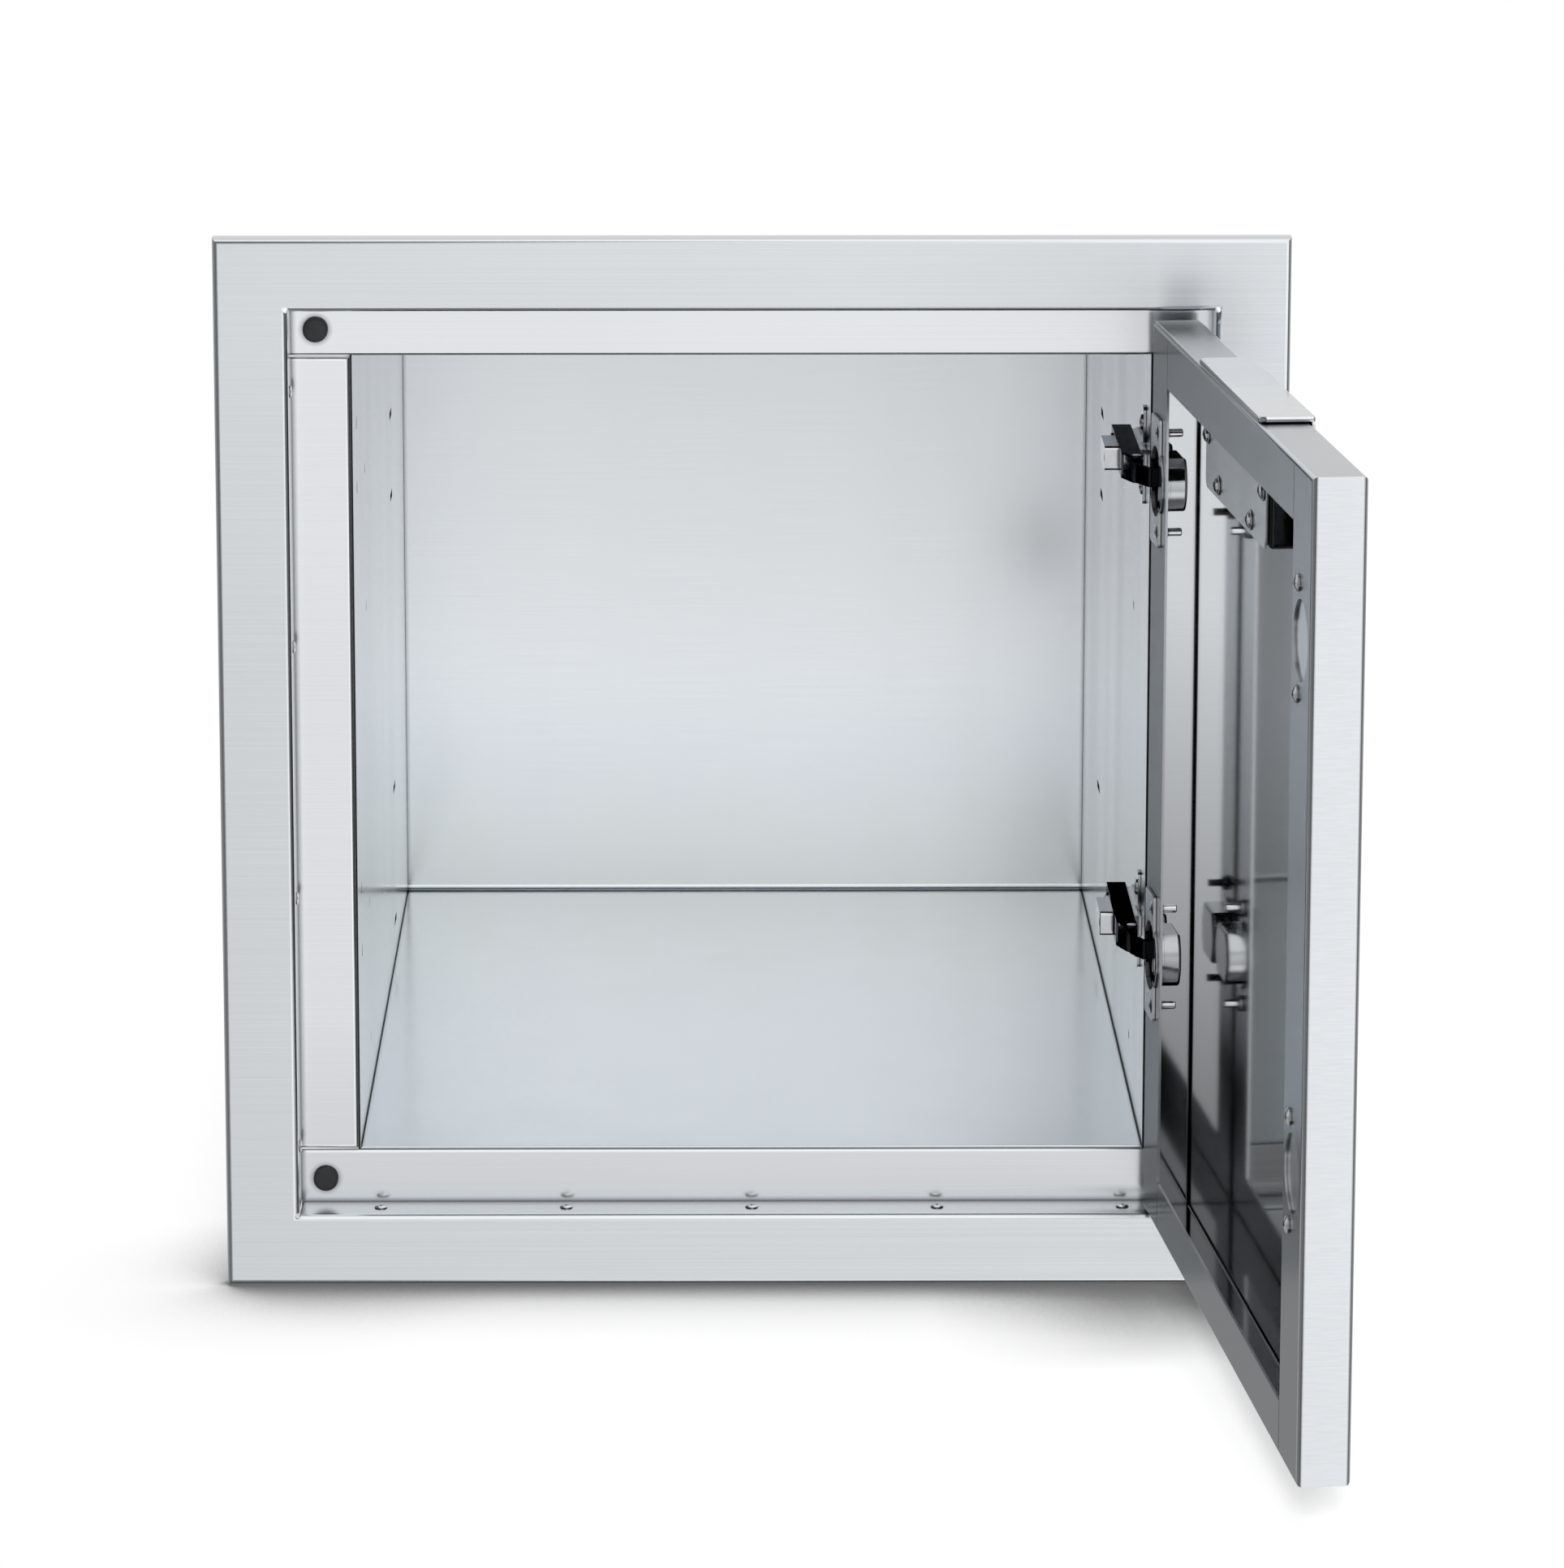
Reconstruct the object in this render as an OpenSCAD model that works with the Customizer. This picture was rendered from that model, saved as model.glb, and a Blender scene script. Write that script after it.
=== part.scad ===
// Built-in storage cabinet: a folded face frame with a stop channel behind it,
// a sheet metal box, and one side-hung door on two concealed cup hinges.
// Millimetres. X runs across the face, Y runs into the cabinet, Z is up.
// The origin is at the middle of the face frame's flat underside.
// The modules measure Y from the face; placed() then moves each piece to the origin.
// The door is drawn open, in the pose rest_angle.

/* [Face frame] */
// Width of the face frame
frame_w = 515; // [460:5:700]
// Height of the face frame
frame_h = 518; // [470:2:700]
// Width of the flat flange round the opening
flange_w = 35.5; // [30:0.5:60]
// Depth of the recess, from the face to the stops
recess_d = 24.8; // [22:0.2:30]
// Depth of the return round the outer edge
return_d = 10; // [6:0.5:16]
// Thickness of every folded sheet
sheet = 1.2; // [0.8:0.1:1.5]
// Outer radius of the bend at the frame's outer edge
outer_bend = 2.8; // [2:0.2:4]
// Outer radius of the bend into the recess
inner_bend = 3; // [2:0.2:4]
// Width of the relief notches in the inner corners
notch_w = 2.4; // [1:0.2:4]

/* [Stops] */
// Height of the top stop's face
top_stop_h = 24.8; // [20:0.2:34]
// Height of the bottom stop's face
bottom_stop_h = 26.6; // [20:0.2:34]
// Width of the side posts' faces
post_w = 28.2; // [26:0.2:34]
// Depth of the stops' inner returns
stop_return_d = 20; // [12:1:30]
// Where the stops' lugs start behind the face
lug_y = 5; // [4.5:0.5:7]
// Gap above and below each post
post_gap = 0.6; // [0.2:0.1:1.5]
// Outer radius of the stops' and posts' bends
post_bend = 2; // [1.6:0.2:3]
// Depth of the returns at the posts' two ends
post_end_d = 8; // [5:0.5:11]

/* [Box] */
// Depth of the cavity behind the stops
cavity_d = 552; // [300:4:700]
// Height of the box's outward hems
hem_h = 8; // [6:0.5:10]
// Drop from the top of the opening to the roof's front edge
roof_front_drop = 14.5; // [12:0.5:22]
// Drop from the top of the opening to the roof's rear edge
roof_rear_drop = 55; // [24:1:90]

/* [Box holes] */
// Distance of the front accessory holes behind the stops
acc_y = 112; // [90:1:200]
// Diameter of the accessory holes
acc_d = 5; // [3:0.5:7]
// Spacing of the two holes of a pair
acc_pitch = 70; // [40:1:90]
// Height of the lowest accessory hole above the floor
acc_low = 27.6; // [15:0.2:50]
// Drop from the opening's top edge to the highest accessory hole
acc_high = 99; // [70:1:120]
// Distance of the rear slots behind the stops
slot_y = 396; // [220:2:420]
// Length of the rear slots
slot_len = 22; // [10:1:30]
// Height of the rear slots
slot_h = 4.5; // [3:0.5:7]
// Spacing of the two upper slots
slot_pitch_high = 44.6; // [20:0.2:60]
// Drop from the opening's top edge to the highest slot
slot_high = 118.4; // [100:0.2:140]
// Spacing of the two lower slots
slot_pitch_low = 74; // [20:1:90]
// Height of the lowest slot above the floor
slot_low = 20; // [12:1:40]

/* [Frame screws] */
// Screws in each side wall of the recess
wall_screws_n = 4; // [2:1:6]
// Lowest side screw, above the opening's bottom edge
wall_screw_low = 31.4; // [31.4:0.2:60]
// Highest side screw, below the opening's top edge
wall_screw_high = 40.4; // [31:0.2:60]
// Screws along the top and the bottom of the recess
ledge_screws_n = 5; // [2:1:7]
// Distance of the end screws from the recess's side walls
ledge_screw_in = 39.5; // [20:0.5:80]
// Distance of the frame screws behind the face
frame_screw_y = 13.5; // [11:0.5:17]
// Diameter of the frame screws
frame_screw_d = 3; // [3:0.5:5]
// Diameter of the frame screws' heads
frame_head_d = 6; // [5.5:0.5:9]
// Height of the frame screws' low heads
frame_head_h = 1.2; // [0.6:0.1:1.2]
// Length of the frame screws under the head
frame_screw_len = 8; // [5:0.5:12]

/* [Door] */
// Gap beside the closed door
side_gap = 2; // [2:0.1:3]
// Gap under the closed door
bottom_gap = 1.4; // [1.3:0.1:3]
// Gap between the door's top edge and the opening
top_gap = 5.6; // [4.6:0.2:9]
// Thickness of the door
door_t = 23.7; // [22.5:0.1:26]
// Outer radius of the door's folded edges
door_bend = 2.5; // [2:0.1:4]
// Width of the inner flange along the top
top_flange = 26; // [16:0.5:27]
// Width of the inner flange along the bottom
bottom_flange = 24.5; // [16:0.5:40]
// Width of the inner flanges along the two sides
side_flange = 45; // [43:0.5:60]
// Width of the open seams between the flanges
seam = 0.8; // [0.4:0.1:1.5]
// Height by which the rubber bumpers hold the door off the stops
bumper_h = 3.5; // [2.8:0.1:4]
// Diameter of the bumpers
bumper_d = 12; // [8:0.5:16]
// Distance of the bumpers from the recess's walls
bumper_in = 12; // [9:0.5:15]
// Running gap between a bumper and the closed door
bumper_gap = 0.1; // [0.05:0.05:0.3]
// Angle of the open door in the drawn pose
rest_angle = 95; // [90:1:97]

/* [Hinges] */
// Height of the lower hinge above the door's bottom edge
hinge_low = 133; // [80:1:160]
// Drop from the door's top edge to the upper hinge
hinge_high = 74; // [68:1:110]
// Hinge line, measured in from the door's hinge edge
pivot_u = 7.9; // [7.7:0.1:8.1]
// Hinge line, measured into the door from its inner face
pivot_t = 19.3; // [19.1:0.1:19.5]
// Diameter of the cup
cup_d = 35; // [34:0.5:36]
// Depth of the cup
cup_depth = 11.5; // [10.5:0.5:13]
// Centre of the cup, measured from the door's hinge edge
cup_u = 22.5; // [22:0.1:23]
// Height of the cup's squared body
cup_body_h = 25.5; // [24:0.5:30]
// Wall of the cup
cup_wall = 1; // [0.6:0.1:1.2]
// Height of the cup's screw plate
cup_plate_h = 62; // [58:1:70]
// Width of the cup's screw plate
cup_plate_w = 25; // [22:0.5:28]
// Thickness of the cup's screw plate
cup_plate_t = 1.6; // [1.2:0.1:1.8]
// Spacing of the two cup screws
cup_screw_pitch = 48; // [45:1:52]
// Offset of the cup screws from the cup's centre
cup_screw_off = 5; // [3:0.5:6]
// Diameter of the cup screws
cup_screw_d = 4; // [3:0.5:4.5]
// Diameter of the rivet nuts
nut_d = 6.2; // [5.8:0.1:8]
// Depth of the rivet nuts behind the door's inner face
nut_len = 11.5; // [8:0.5:14]
// Cup pin, measured from the door's hinge edge
pin_u = 10; // [9.8:0.1:10.2]
// Cup pin, measured into the door
pin_t = 3; // [2.9:0.1:3.2]
// Diameter of the cup pins and the arm pins
pin_d = 3; // [2:0.2:3.4]
// Distance from the hinge line to the arm pin
anchor_r = 32; // [31.5:0.5:33]
// Height of the gooseneck link
link_h = 9.2; // [7:0.2:9.4]
// Radius of the link's eye on the cup pin
link_eye_r = 2.6; // [2.2:0.1:2.7]
// Radius of the link's eye at the arm
link_end_r = 3; // [2.6:0.1:3.2]
// Thickness of the link's neck
link_t = 2.4; // [1.8:0.2:2.6]
// Rise of the link's neck over the line between its eyes
link_rise = 5.8; // [5.5:0.1:6]
// Inner height of the arm's channel
arm_in_h = 10.8; // [10.2:0.2:11.4]
// Thickness of the arm's sheet
arm_sheet = 1; // [0.8:0.1:1.2]
// Radius of the arm's nose
arm_nose_r = 3; // [2.6:0.1:3.1]
// Rear end of the arm behind the stops
arm_rear_y = 88; // [80:1:100]
// Centre of the mounting plate behind the stops
plate_y = 37; // [36:0.5:40]
// Height of the mounting plate's wings
plate_h = 48; // [44:1:56]
// Width of the mounting plate's wings
plate_w = 12; // [10:0.5:16]
// Thickness of the mounting plate's wings
plate_t = 1.5; // [1:0.1:2]
// Spacing of the mounting plate's two screws
plate_screw_pitch = 32; // [30:1:36]
// Length of the soft-close damper's housing
damper_len = 35; // [25:1:38]
// Thickness of the soft-close damper's housing
damper_t = 7; // [5:0.5:9]
// Front end of the damper behind the stops
damper_y = 24.2; // [20:0.2:30]

/* [Spare hinge holes] */
// Centre of the spare cup holes, measured from the door's free edge
spare_in = 24; // [22:0.5:24.5]
// Width of the plates that close them
cover_w = 40; // [38:0.5:42]
// Height of the plates that close them
cover_h = 60; // [56:1:70]
// Height of the screw heads on the door's inside
door_head_h = 2.4; // [1.6:0.1:2.6]
// Diameter of the screw heads on the door's inside
door_head_d = 7.6; // [6:0.2:8]

/* [Handle] */
// Length of the handle's top plate
handle_len = 168; // [120:2:220]
// Height of the top plate above the door's edge
handle_rise = 3.3; // [2:0.1:3.6]
// Depth of the handle's body below the door's edge
handle_drop = 57.5; // [54:0.5:70]
// How far the handle's face stands proud of the door
handle_proud = 1.5; // [0.5:0.1:2.5]
// Width by which the handle's face laps the door
handle_lap = 1.2; // [0.8:0.1:2]
// Wall of the handle's casting
handle_wall = 2; // [1.5:0.1:3]
// Where the casting's back lies behind the door's inner face
handle_back = 5.2; // [4.6:0.1:7]
// Distance of the finger pocket's ends from the handle's ends
pocket_in = 10; // [9:0.5:25]
// Height of the finger pocket's opening
pocket_h = 38; // [28:1:40]
// Drop from the door's top edge to the pocket's opening
pocket_drop = 14; // [12:0.5:16]
// Thickness of the sheet behind the handle
back_plate_t = 1.2; // [0.8:0.1:1.5]
// Distance of the handle's upper screws from its ends
handle_screw_in_high = 8.5; // [8.5:0.5:25]
// Distance of the handle's lower screws from its ends
handle_screw_in_low = 39.75; // [30:0.25:50]
// Drop from the door's top edge to the upper screws
handle_screw_high = 31; // [31:0.5:34]
// Drop from the door's top edge to the lower screws
handle_screw_low = 49.6; // [45:0.2:50]
// Diameter of the handle's washers
washer_d = 9; // [8:0.5:10]

/* [Hidden] */
$fn = 48;

// Colours, as the photograph shows them
steel = [0.78, 0.79, 0.80];
steel_dull = [0.66, 0.67, 0.69];
polished = [0.88, 0.89, 0.90];
zinc = [0.72, 0.73, 0.75];
rubber = [0.08, 0.08, 0.08];

// Small clearances and cut-through lengths
cut = 1;
fit = 0.05;
screw_clear = 0.2;
run_gap = 0.3;

// The opening
open_x = frame_w/2 - flange_w;
open_z0 = flange_w;
open_z1 = frame_h - flange_w;
open_w = 2*open_x;
open_h = open_z1 - open_z0;

base_y = (outer_bend + return_d)/2;

// The stops and the box
stop_back = recess_d + sheet;
post_x = open_x - post_w;
post_z0 = open_z0 + bottom_stop_h + post_gap;
post_z1 = open_z1 - top_stop_h - post_gap;
panel_x = post_x - sheet;
floor_z = open_z0 + bottom_stop_h + sheet;
back_y = recess_d + cavity_d;
box_y1 = back_y + hem_h;
box_y0 = stop_back + 0.3;
roof_z0 = open_z1 - roof_front_drop;
roof_z1 = open_z1 - roof_rear_drop;
roof_fall = (roof_z0 - roof_z1)/(box_y1 - stop_back);
roof_tilt = atan(roof_fall);

// The door, closed: u runs from its hinge edge, t from its inner face outward
door_w = open_w - 2*side_gap;
door_h = open_h - bottom_gap - top_gap;
door_x1 = open_x - side_gap;
door_y = recess_d - bumper_h;
door_z0 = open_z0 + bottom_gap;
hinge_z = [hinge_low, door_h - hinge_high];
spare_u = door_w - spare_in;
pivot = [door_x1 - pivot_u, door_y - pivot_t];
handle_u0 = (door_w - handle_len)/2;

// Turns a point of the plane about the hinge line
function turned(p, a) = [
    pivot[0] + (p[0] - pivot[0])*cos(a) - (p[1] - pivot[1])*sin(a),
    pivot[1] + (p[0] - pivot[0])*sin(a) + (p[1] - pivot[1])*cos(a)
];

// The arm pin lies on the line that halves the cup pin's swing
cup_pin_closed = [door_x1 - pin_u, door_y - pin_t];
cup_pin_open = turned(cup_pin_closed, rest_angle);
cup_pin_dir = atan2(cup_pin_closed[1] - pivot[1], cup_pin_closed[0] - pivot[0]);
half_swing = 47.5;
arm_pin = pivot + anchor_r*[cos(cup_pin_dir + half_swing), sin(cup_pin_dir + half_swing)];
link_len = norm(arm_pin - cup_pin_open);
link_dir = atan2(arm_pin[1] - cup_pin_open[1], arm_pin[0] - cup_pin_open[0]);

// The arm and its damper
arm_h = arm_in_h + 2*arm_sheet;
arm_web_x = arm_pin[0] - arm_nose_r - 3.9;
arm_side_x = panel_x - plate_t - 2.6;
arm_front_y = arm_pin[1] + 11;
arm_y1 = recess_d + arm_rear_y;
rail_y0 = arm_front_y + 14;
plate_cy = recess_d + plate_y;
arm_screw_len = 7;

// Moves a piece from the face to the origin
module placed() {
    translate([0, -base_y, 0]) children();
}

// Basic shapes

module rounded_rect(size, r) {
    translate([r, 0]) square([size[0] - 2*r, size[1]]);
    translate([0, r]) square([size[0], size[1] - 2*r]);
    for (x = [r, size[0] - r], y = [r, size[1] - r])
        translate([x, y]) circle(r);
}

// A quarter ring of sheet whose outer corner is at the origin
module bend(r) {
    difference() {
        intersection() {
            translate([r, r]) circle(r);
            square(r);
        }
        translate([r, r]) circle(r - sheet);
    }
}

// Two extrusions that meet: one along Z whose width w is X, one along X whose width h is Z.
// Child 0 is the first one's section and child 1 the second one's, both drawn with Y as their depth.
module crossed(w, h) {
    reach = 5;
    intersection() {
        translate([0, 0, -reach]) linear_extrude(h + 2*reach) children(0);
        translate([-reach, 0, 0]) rotate([90, 0, 90]) linear_extrude(w + 2*reach) mirror([1, -1]) children(1);
    }
}

// Section of a folded edge: both front corners rounded
module front_rounded(w, depth, r) {
    translate([r, 0]) square([w - 2*r, depth]);
    translate([0, r]) square([w, depth - r]);
    for (x = [r, w - r])
        translate([x, r]) circle(r);
}

// Section of an opening whose front edges flare out
module front_flared(w, depth, r) {
    translate([0, -cut]) square([w, depth + cut]);
    difference() {
        translate([-r, -cut]) square([w + 2*r, r + cut]);
        for (x = [-r, w + r])
            translate([x, r]) circle(r);
    }
}

// A folded tray: its face on Y = 0, its four walls running back to Y = depth
module folded_tray(w, h, depth, r) {
    w1 = w - 2*sheet;
    h1 = h - 2*sheet;
    difference() {
        crossed(w, h) {
            front_rounded(w, depth, r);
            front_rounded(h, depth, r);
        }
        translate([sheet, sheet, sheet]) crossed(w1, h1) {
            front_rounded(w1, depth, r - sheet);
            front_rounded(h1, depth, r - sheet);
        }
    }
}

// The space inside a flared opening
module flared_hole(w, h, depth, r) {
    crossed(w, h) {
        front_flared(w, depth, r);
        front_flared(h, depth, r);
    }
}

// A screw along Z: its head sits on Z = 0, with a cross recess in a domed top
module screw(d, len, head_d, head_h) {
    dome_r = (pow(head_d/2, 2) + pow(head_h, 2))/(2*head_h);
    difference() {
        union() {
            intersection() {
                cylinder(h = head_h, d = head_d);
                translate([0, 0, head_h - dome_r]) sphere(dome_r, $fn = 96);
            }
            translate([0, 0, -len]) cylinder(h = len + fit, d = d);
        }
        for (a = [0, 90])
            rotate(a) translate([-head_d*0.28, -d*0.13, head_h*0.35]) cube([head_d*0.56, d*0.26, head_h]);
    }
}

// Places its children in the door: X is u, Y is t, Z is the height above the door's bottom edge
module in_door() {
    translate([pivot[0], pivot[1], door_z0]) rotate(rest_angle)
        translate([door_x1 - pivot[0], door_y - pivot[1], 0]) rotate(180) children();
}

// Points a child that lies along +Z out of the door's inner face
module out_of_inner_face(u, t, z) {
    translate([u, t, z]) rotate([90, 0, 0]) children();
}

// Face frame

module wall_screw_places() {
    pitch = (open_h - wall_screw_low - wall_screw_high)/(wall_screws_n - 1);
    for (side = [-1, 1], i = [0:wall_screws_n - 1])
        translate([side*open_x, frame_screw_y, open_z0 + wall_screw_low + i*pitch])
            rotate([0, -side*90, 0]) children();
}

module ledge_screw_places() {
    pitch = (open_w - 2*ledge_screw_in)/(ledge_screws_n - 1);
    for (i = [0:ledge_screws_n - 1]) {
        x = -open_x + ledge_screw_in + i*pitch;
        translate([x, frame_screw_y, open_z0]) children();
        translate([x, frame_screw_y, open_z1]) rotate([180, 0, 0]) children();
    }
}

module frame_screw_holes() {
    wall_screw_places() translate([0, 0, -4*sheet]) cylinder(h = 5*sheet, d = frame_screw_d + 2*screw_clear);
    ledge_screw_places() translate([0, 0, -4*sheet]) cylinder(h = 5*sheet, d = frame_screw_d + 2*screw_clear);
}

module face_frame() {
    color(steel) placed() difference() {
        union() {
            translate([-frame_w/2, 0, 0]) folded_tray(frame_w, frame_h, return_d, outer_bend);
            intersection() {
                translate([-open_x - sheet, sheet, open_z0 - sheet])
                    flared_hole(open_w + 2*sheet, open_h + 2*sheet, recess_d, inner_bend - sheet);
                translate([-frame_w/2, fit, 0]) cube([frame_w, recess_d - fit, frame_h]);
            }
        }
        translate([-open_x, 0, open_z0]) flared_hole(open_w, open_h, recess_d + cut, inner_bend);
        frame_screw_holes();
        for (x = [-open_x, open_x], z = [open_z0, open_z1])
            translate([x - notch_w/2, inner_bend, z - notch_w/2]) cube([notch_w, recess_d, notch_w]);
    }
}

// Stops

// Section of a stop: a lug that runs forward outside the recess's wall, the face, and the inner return
module stop_profile(face) {
    translate([-2*sheet, lug_y]) square([sheet, stop_back - lug_y]);
    translate([-2*sheet, recess_d]) square([face + 2*sheet - post_bend, sheet]);
    translate([face, recess_d]) mirror([1, 0]) bend(post_bend);
    translate([face - sheet, recess_d + post_bend]) square([sheet, stop_return_d - post_bend]);
}

// A stop along X; its inner return is shorter than its face, and fits between the side panels
module stop_rail(face) {
    return_x = panel_x - sheet - run_gap;
    difference() {
        translate([open_x, 0, 0]) rotate([0, -90, 0]) linear_extrude(open_w) stop_profile(face);
        for (x = [-open_x - cut, return_x])
            translate([x, stop_back, -3*sheet]) cube([open_x - return_x + cut, stop_return_d, face + 4*sheet]);
    }
}

module top_stop() {
    color(steel) placed() difference() {
        translate([0, 0, open_z1]) rotate([0, 180, 0]) stop_rail(top_stop_h);
        frame_screw_holes();
    }
}

module bottom_stop() {
    color(steel) placed() difference() {
        translate([0, 0, open_z0]) stop_rail(bottom_stop_h);
        frame_screw_holes();
    }
}

// The left post: a lug outside the recess's wall, the face, a deep inner return and short returns at both ends
module post() {
    h = post_z1 - post_z0;
    w = post_w + 2*sheet;
    difference() {
        translate([-open_x - 2*sheet, 0, post_z0]) {
            translate([0, lug_y, 0]) cube([sheet, stop_back - lug_y, h]);
            intersection() {
                translate([-2*post_bend, recess_d, 0]) folded_tray(w + 2*post_bend, h, stop_return_d, post_bend);
                translate([0, recess_d - cut, -cut]) cube([w + cut, stop_return_d + 2*cut, h + 2*cut]);
            }
        }
        translate([-open_x - 3*sheet, recess_d + post_end_d, post_z0 - cut])
            cube([post_w + 2*sheet - fit, stop_return_d, h + 2*cut]);
        frame_screw_holes();
    }
}

module left_post() {
    color(steel) placed() post();
}

module right_post() {
    color(steel) placed() mirror([1, 0, 0]) post();
}

module door_bumpers() {
    color(rubber) placed()
        for (z = [open_z0 + bumper_in, open_z1 - bumper_in])
            translate([-open_x + bumper_in, recess_d, z]) rotate([90, 0, 0]) {
                tall = bumper_h - bumper_gap;
                cylinder(h = tall*0.6, d = bumper_d);
                translate([0, 0, tall*0.6]) cylinder(h = tall*0.4, d1 = bumper_d, d2 = bumper_d*0.75);
            }
}

module side_wall_screws() {
    color(zinc) placed() wall_screw_places() screw(frame_screw_d, frame_screw_len, frame_head_d, frame_head_h);
}

module ledge_screws() {
    color(zinc) placed() ledge_screw_places() screw(frame_screw_d, frame_screw_len, frame_head_d, frame_head_h);
}

// Box

// Places a child that lies along +Z at the two mounting plates' screws, pointing into the cavity
module plate_screw_places() {
    for (z = hinge_z, side = [-1, 1])
        translate([panel_x, plate_cy, door_z0 + z + side*plate_screw_pitch/2]) rotate([0, -90, 0]) children();
}

module side_panel() {
    difference() {
        translate([panel_x, 0, 0]) rotate([90, 0, 90]) linear_extrude(sheet)
            polygon([
                [box_y0, floor_z - hem_h], [box_y1, floor_z - hem_h],
                [box_y1, roof_z1 + hem_h], [box_y0, roof_z0 + hem_h]
            ]);
        for (z = hinge_z, side = [-1, 1])
            translate([panel_x - cut, plate_cy, door_z0 + z + side*plate_screw_pitch/2])
                rotate([0, 90, 0]) cylinder(h = sheet + 2*cut, d = nut_d + 2*fit);
        for (z = [floor_z + acc_low, floor_z + acc_low + acc_pitch, open_z1 - acc_high - acc_pitch, open_z1 - acc_high])
            translate([panel_x - cut, recess_d + acc_y, z]) rotate([0, 90, 0])
                cylinder(h = sheet + 2*cut, d = acc_d);
        for (z = [
            floor_z + slot_low, floor_z + slot_low + slot_pitch_low,
            open_z1 - slot_high - slot_pitch_high, open_z1 - slot_high
        ])
            translate([panel_x - cut, recess_d + slot_y, z]) rotate([90, 0, 90])
                linear_extrude(sheet + 2*cut) translate([-slot_len/2, -slot_h/2])
                    rounded_rect([slot_len, slot_h], slot_h/2 - 0.01);
    }
}

module left_side_panel() {
    color(steel_dull) placed() mirror([1, 0, 0]) side_panel();
}

module right_side_panel() {
    color(steel_dull) placed() side_panel();
}

// Sheet with hems along both sides, lying between the side panels; its hems point away from the cavity
module hemmed_sheet(length, up) {
    w = 2*panel_x - 2*fit;
    translate([-w/2, 0, up > 0 ? 0 : -sheet]) cube([w, length, sheet]);
    for (side = [-1, 1])
        translate([side > 0 ? w/2 - sheet : -w/2, 0, up > 0 ? 0 : -hem_h]) cube([sheet, length, hem_h]);
}

module floor_panel() {
    color(steel_dull) placed() translate([0, box_y0, floor_z]) hemmed_sheet(back_y - fit - box_y0, -1);
}

module roof_panel() {
    length = (back_y - stop_back - 1)/cos(roof_tilt);
    color(steel_dull) placed() intersection() {
        translate([0, stop_back, roof_z0]) rotate([-roof_tilt, 0, 0]) hemmed_sheet(length, 1);
        translate([-panel_x, stop_back + fit, roof_z1 - hem_h])
            cube([2*panel_x, back_y - fit - stop_back - fit, roof_z0 - roof_z1 + 3*hem_h]);
    }
}

module back_panel() {
    w = 2*panel_x - 2*fit;
    z0 = floor_z - hem_h;
    z1 = roof_z0 - roof_fall*(back_y - stop_back);
    color(steel_dull) placed() {
        translate([-w/2, back_y, z0]) cube([w, sheet, z1 - z0 + hem_h]);
        for (side = [-1, 1])
            translate([side > 0 ? w/2 - sheet : -w/2, back_y, z0]) cube([sheet, hem_h, z1 - z0]);
    }
}

// Hinges, the cabinet's side

module mounting_plate(z) {
    rail_x = arm_web_x + arm_sheet + 1;
    rail_h = arm_in_h - 2*run_gap;
    translate([0, 0, door_z0 + z]) difference() {
        union() {
            translate([panel_x - plate_t, plate_cy - plate_w/2, 0]) rotate([90, 0, 90]) linear_extrude(plate_t)
                translate([0, -plate_h/2]) rounded_rect([plate_w, plate_h], 3);
            translate([panel_x - plate_t, rail_y0, -rail_h/2]) cube([plate_t, arm_y1 - rail_y0, rail_h]);
            translate([rail_x, rail_y0, -rail_h/2]) cube([panel_x - rail_x, arm_y1 - rail_y0 - 4, rail_h]);
        }
        for (side = [-1, 1])
            translate([panel_x - plate_t - cut, plate_cy, side*plate_screw_pitch/2]) rotate([0, 90, 0])
                cylinder(h = plate_t + 2*cut, d = cup_screw_d + 2*screw_clear);
        arm_screw_places() translate([0, 0, -arm_screw_len - cut])
            cylinder(h = arm_screw_len + cut, d = cup_screw_d + 2*fit);
    }
}

module upper_mounting_plate() {
    color(zinc) placed() mounting_plate(hinge_z[1]);
}

module lower_mounting_plate() {
    color(zinc) placed() mounting_plate(hinge_z[0]);
}

module mounting_plate_screws() {
    color(zinc) placed() translate([-plate_t, 0, 0]) plate_screw_places()
        screw(cup_screw_d, plate_t + nut_len - 2, door_head_d, door_head_h - 0.8);
}

// A rivet nut along -Z: its sleeve fills the sheet's hole, and its bulge sits behind the sheet
module rivet_nut() {
    difference() {
        union() {
            translate([0, 0, -nut_len]) cylinder(h = nut_len, d = nut_d);
            translate([0, 0, -sheet - 2.5]) cylinder(h = 2.5, d = nut_d + 1.6);
        }
        translate([0, 0, -nut_len - cut]) cylinder(h = nut_len + 2*cut, d = cup_screw_d + 2*fit);
    }
}

module mounting_plate_nuts() {
    color(zinc) placed() plate_screw_places() rivet_nut();
}

// The arm's fixing screw and its adjusting screw, in the arm's web
module arm_screw_places() {
    for (back = [6, 17])
        translate([arm_web_x, arm_y1 - back - 4, 0]) rotate([0, -90, 0]) children();
}

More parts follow.
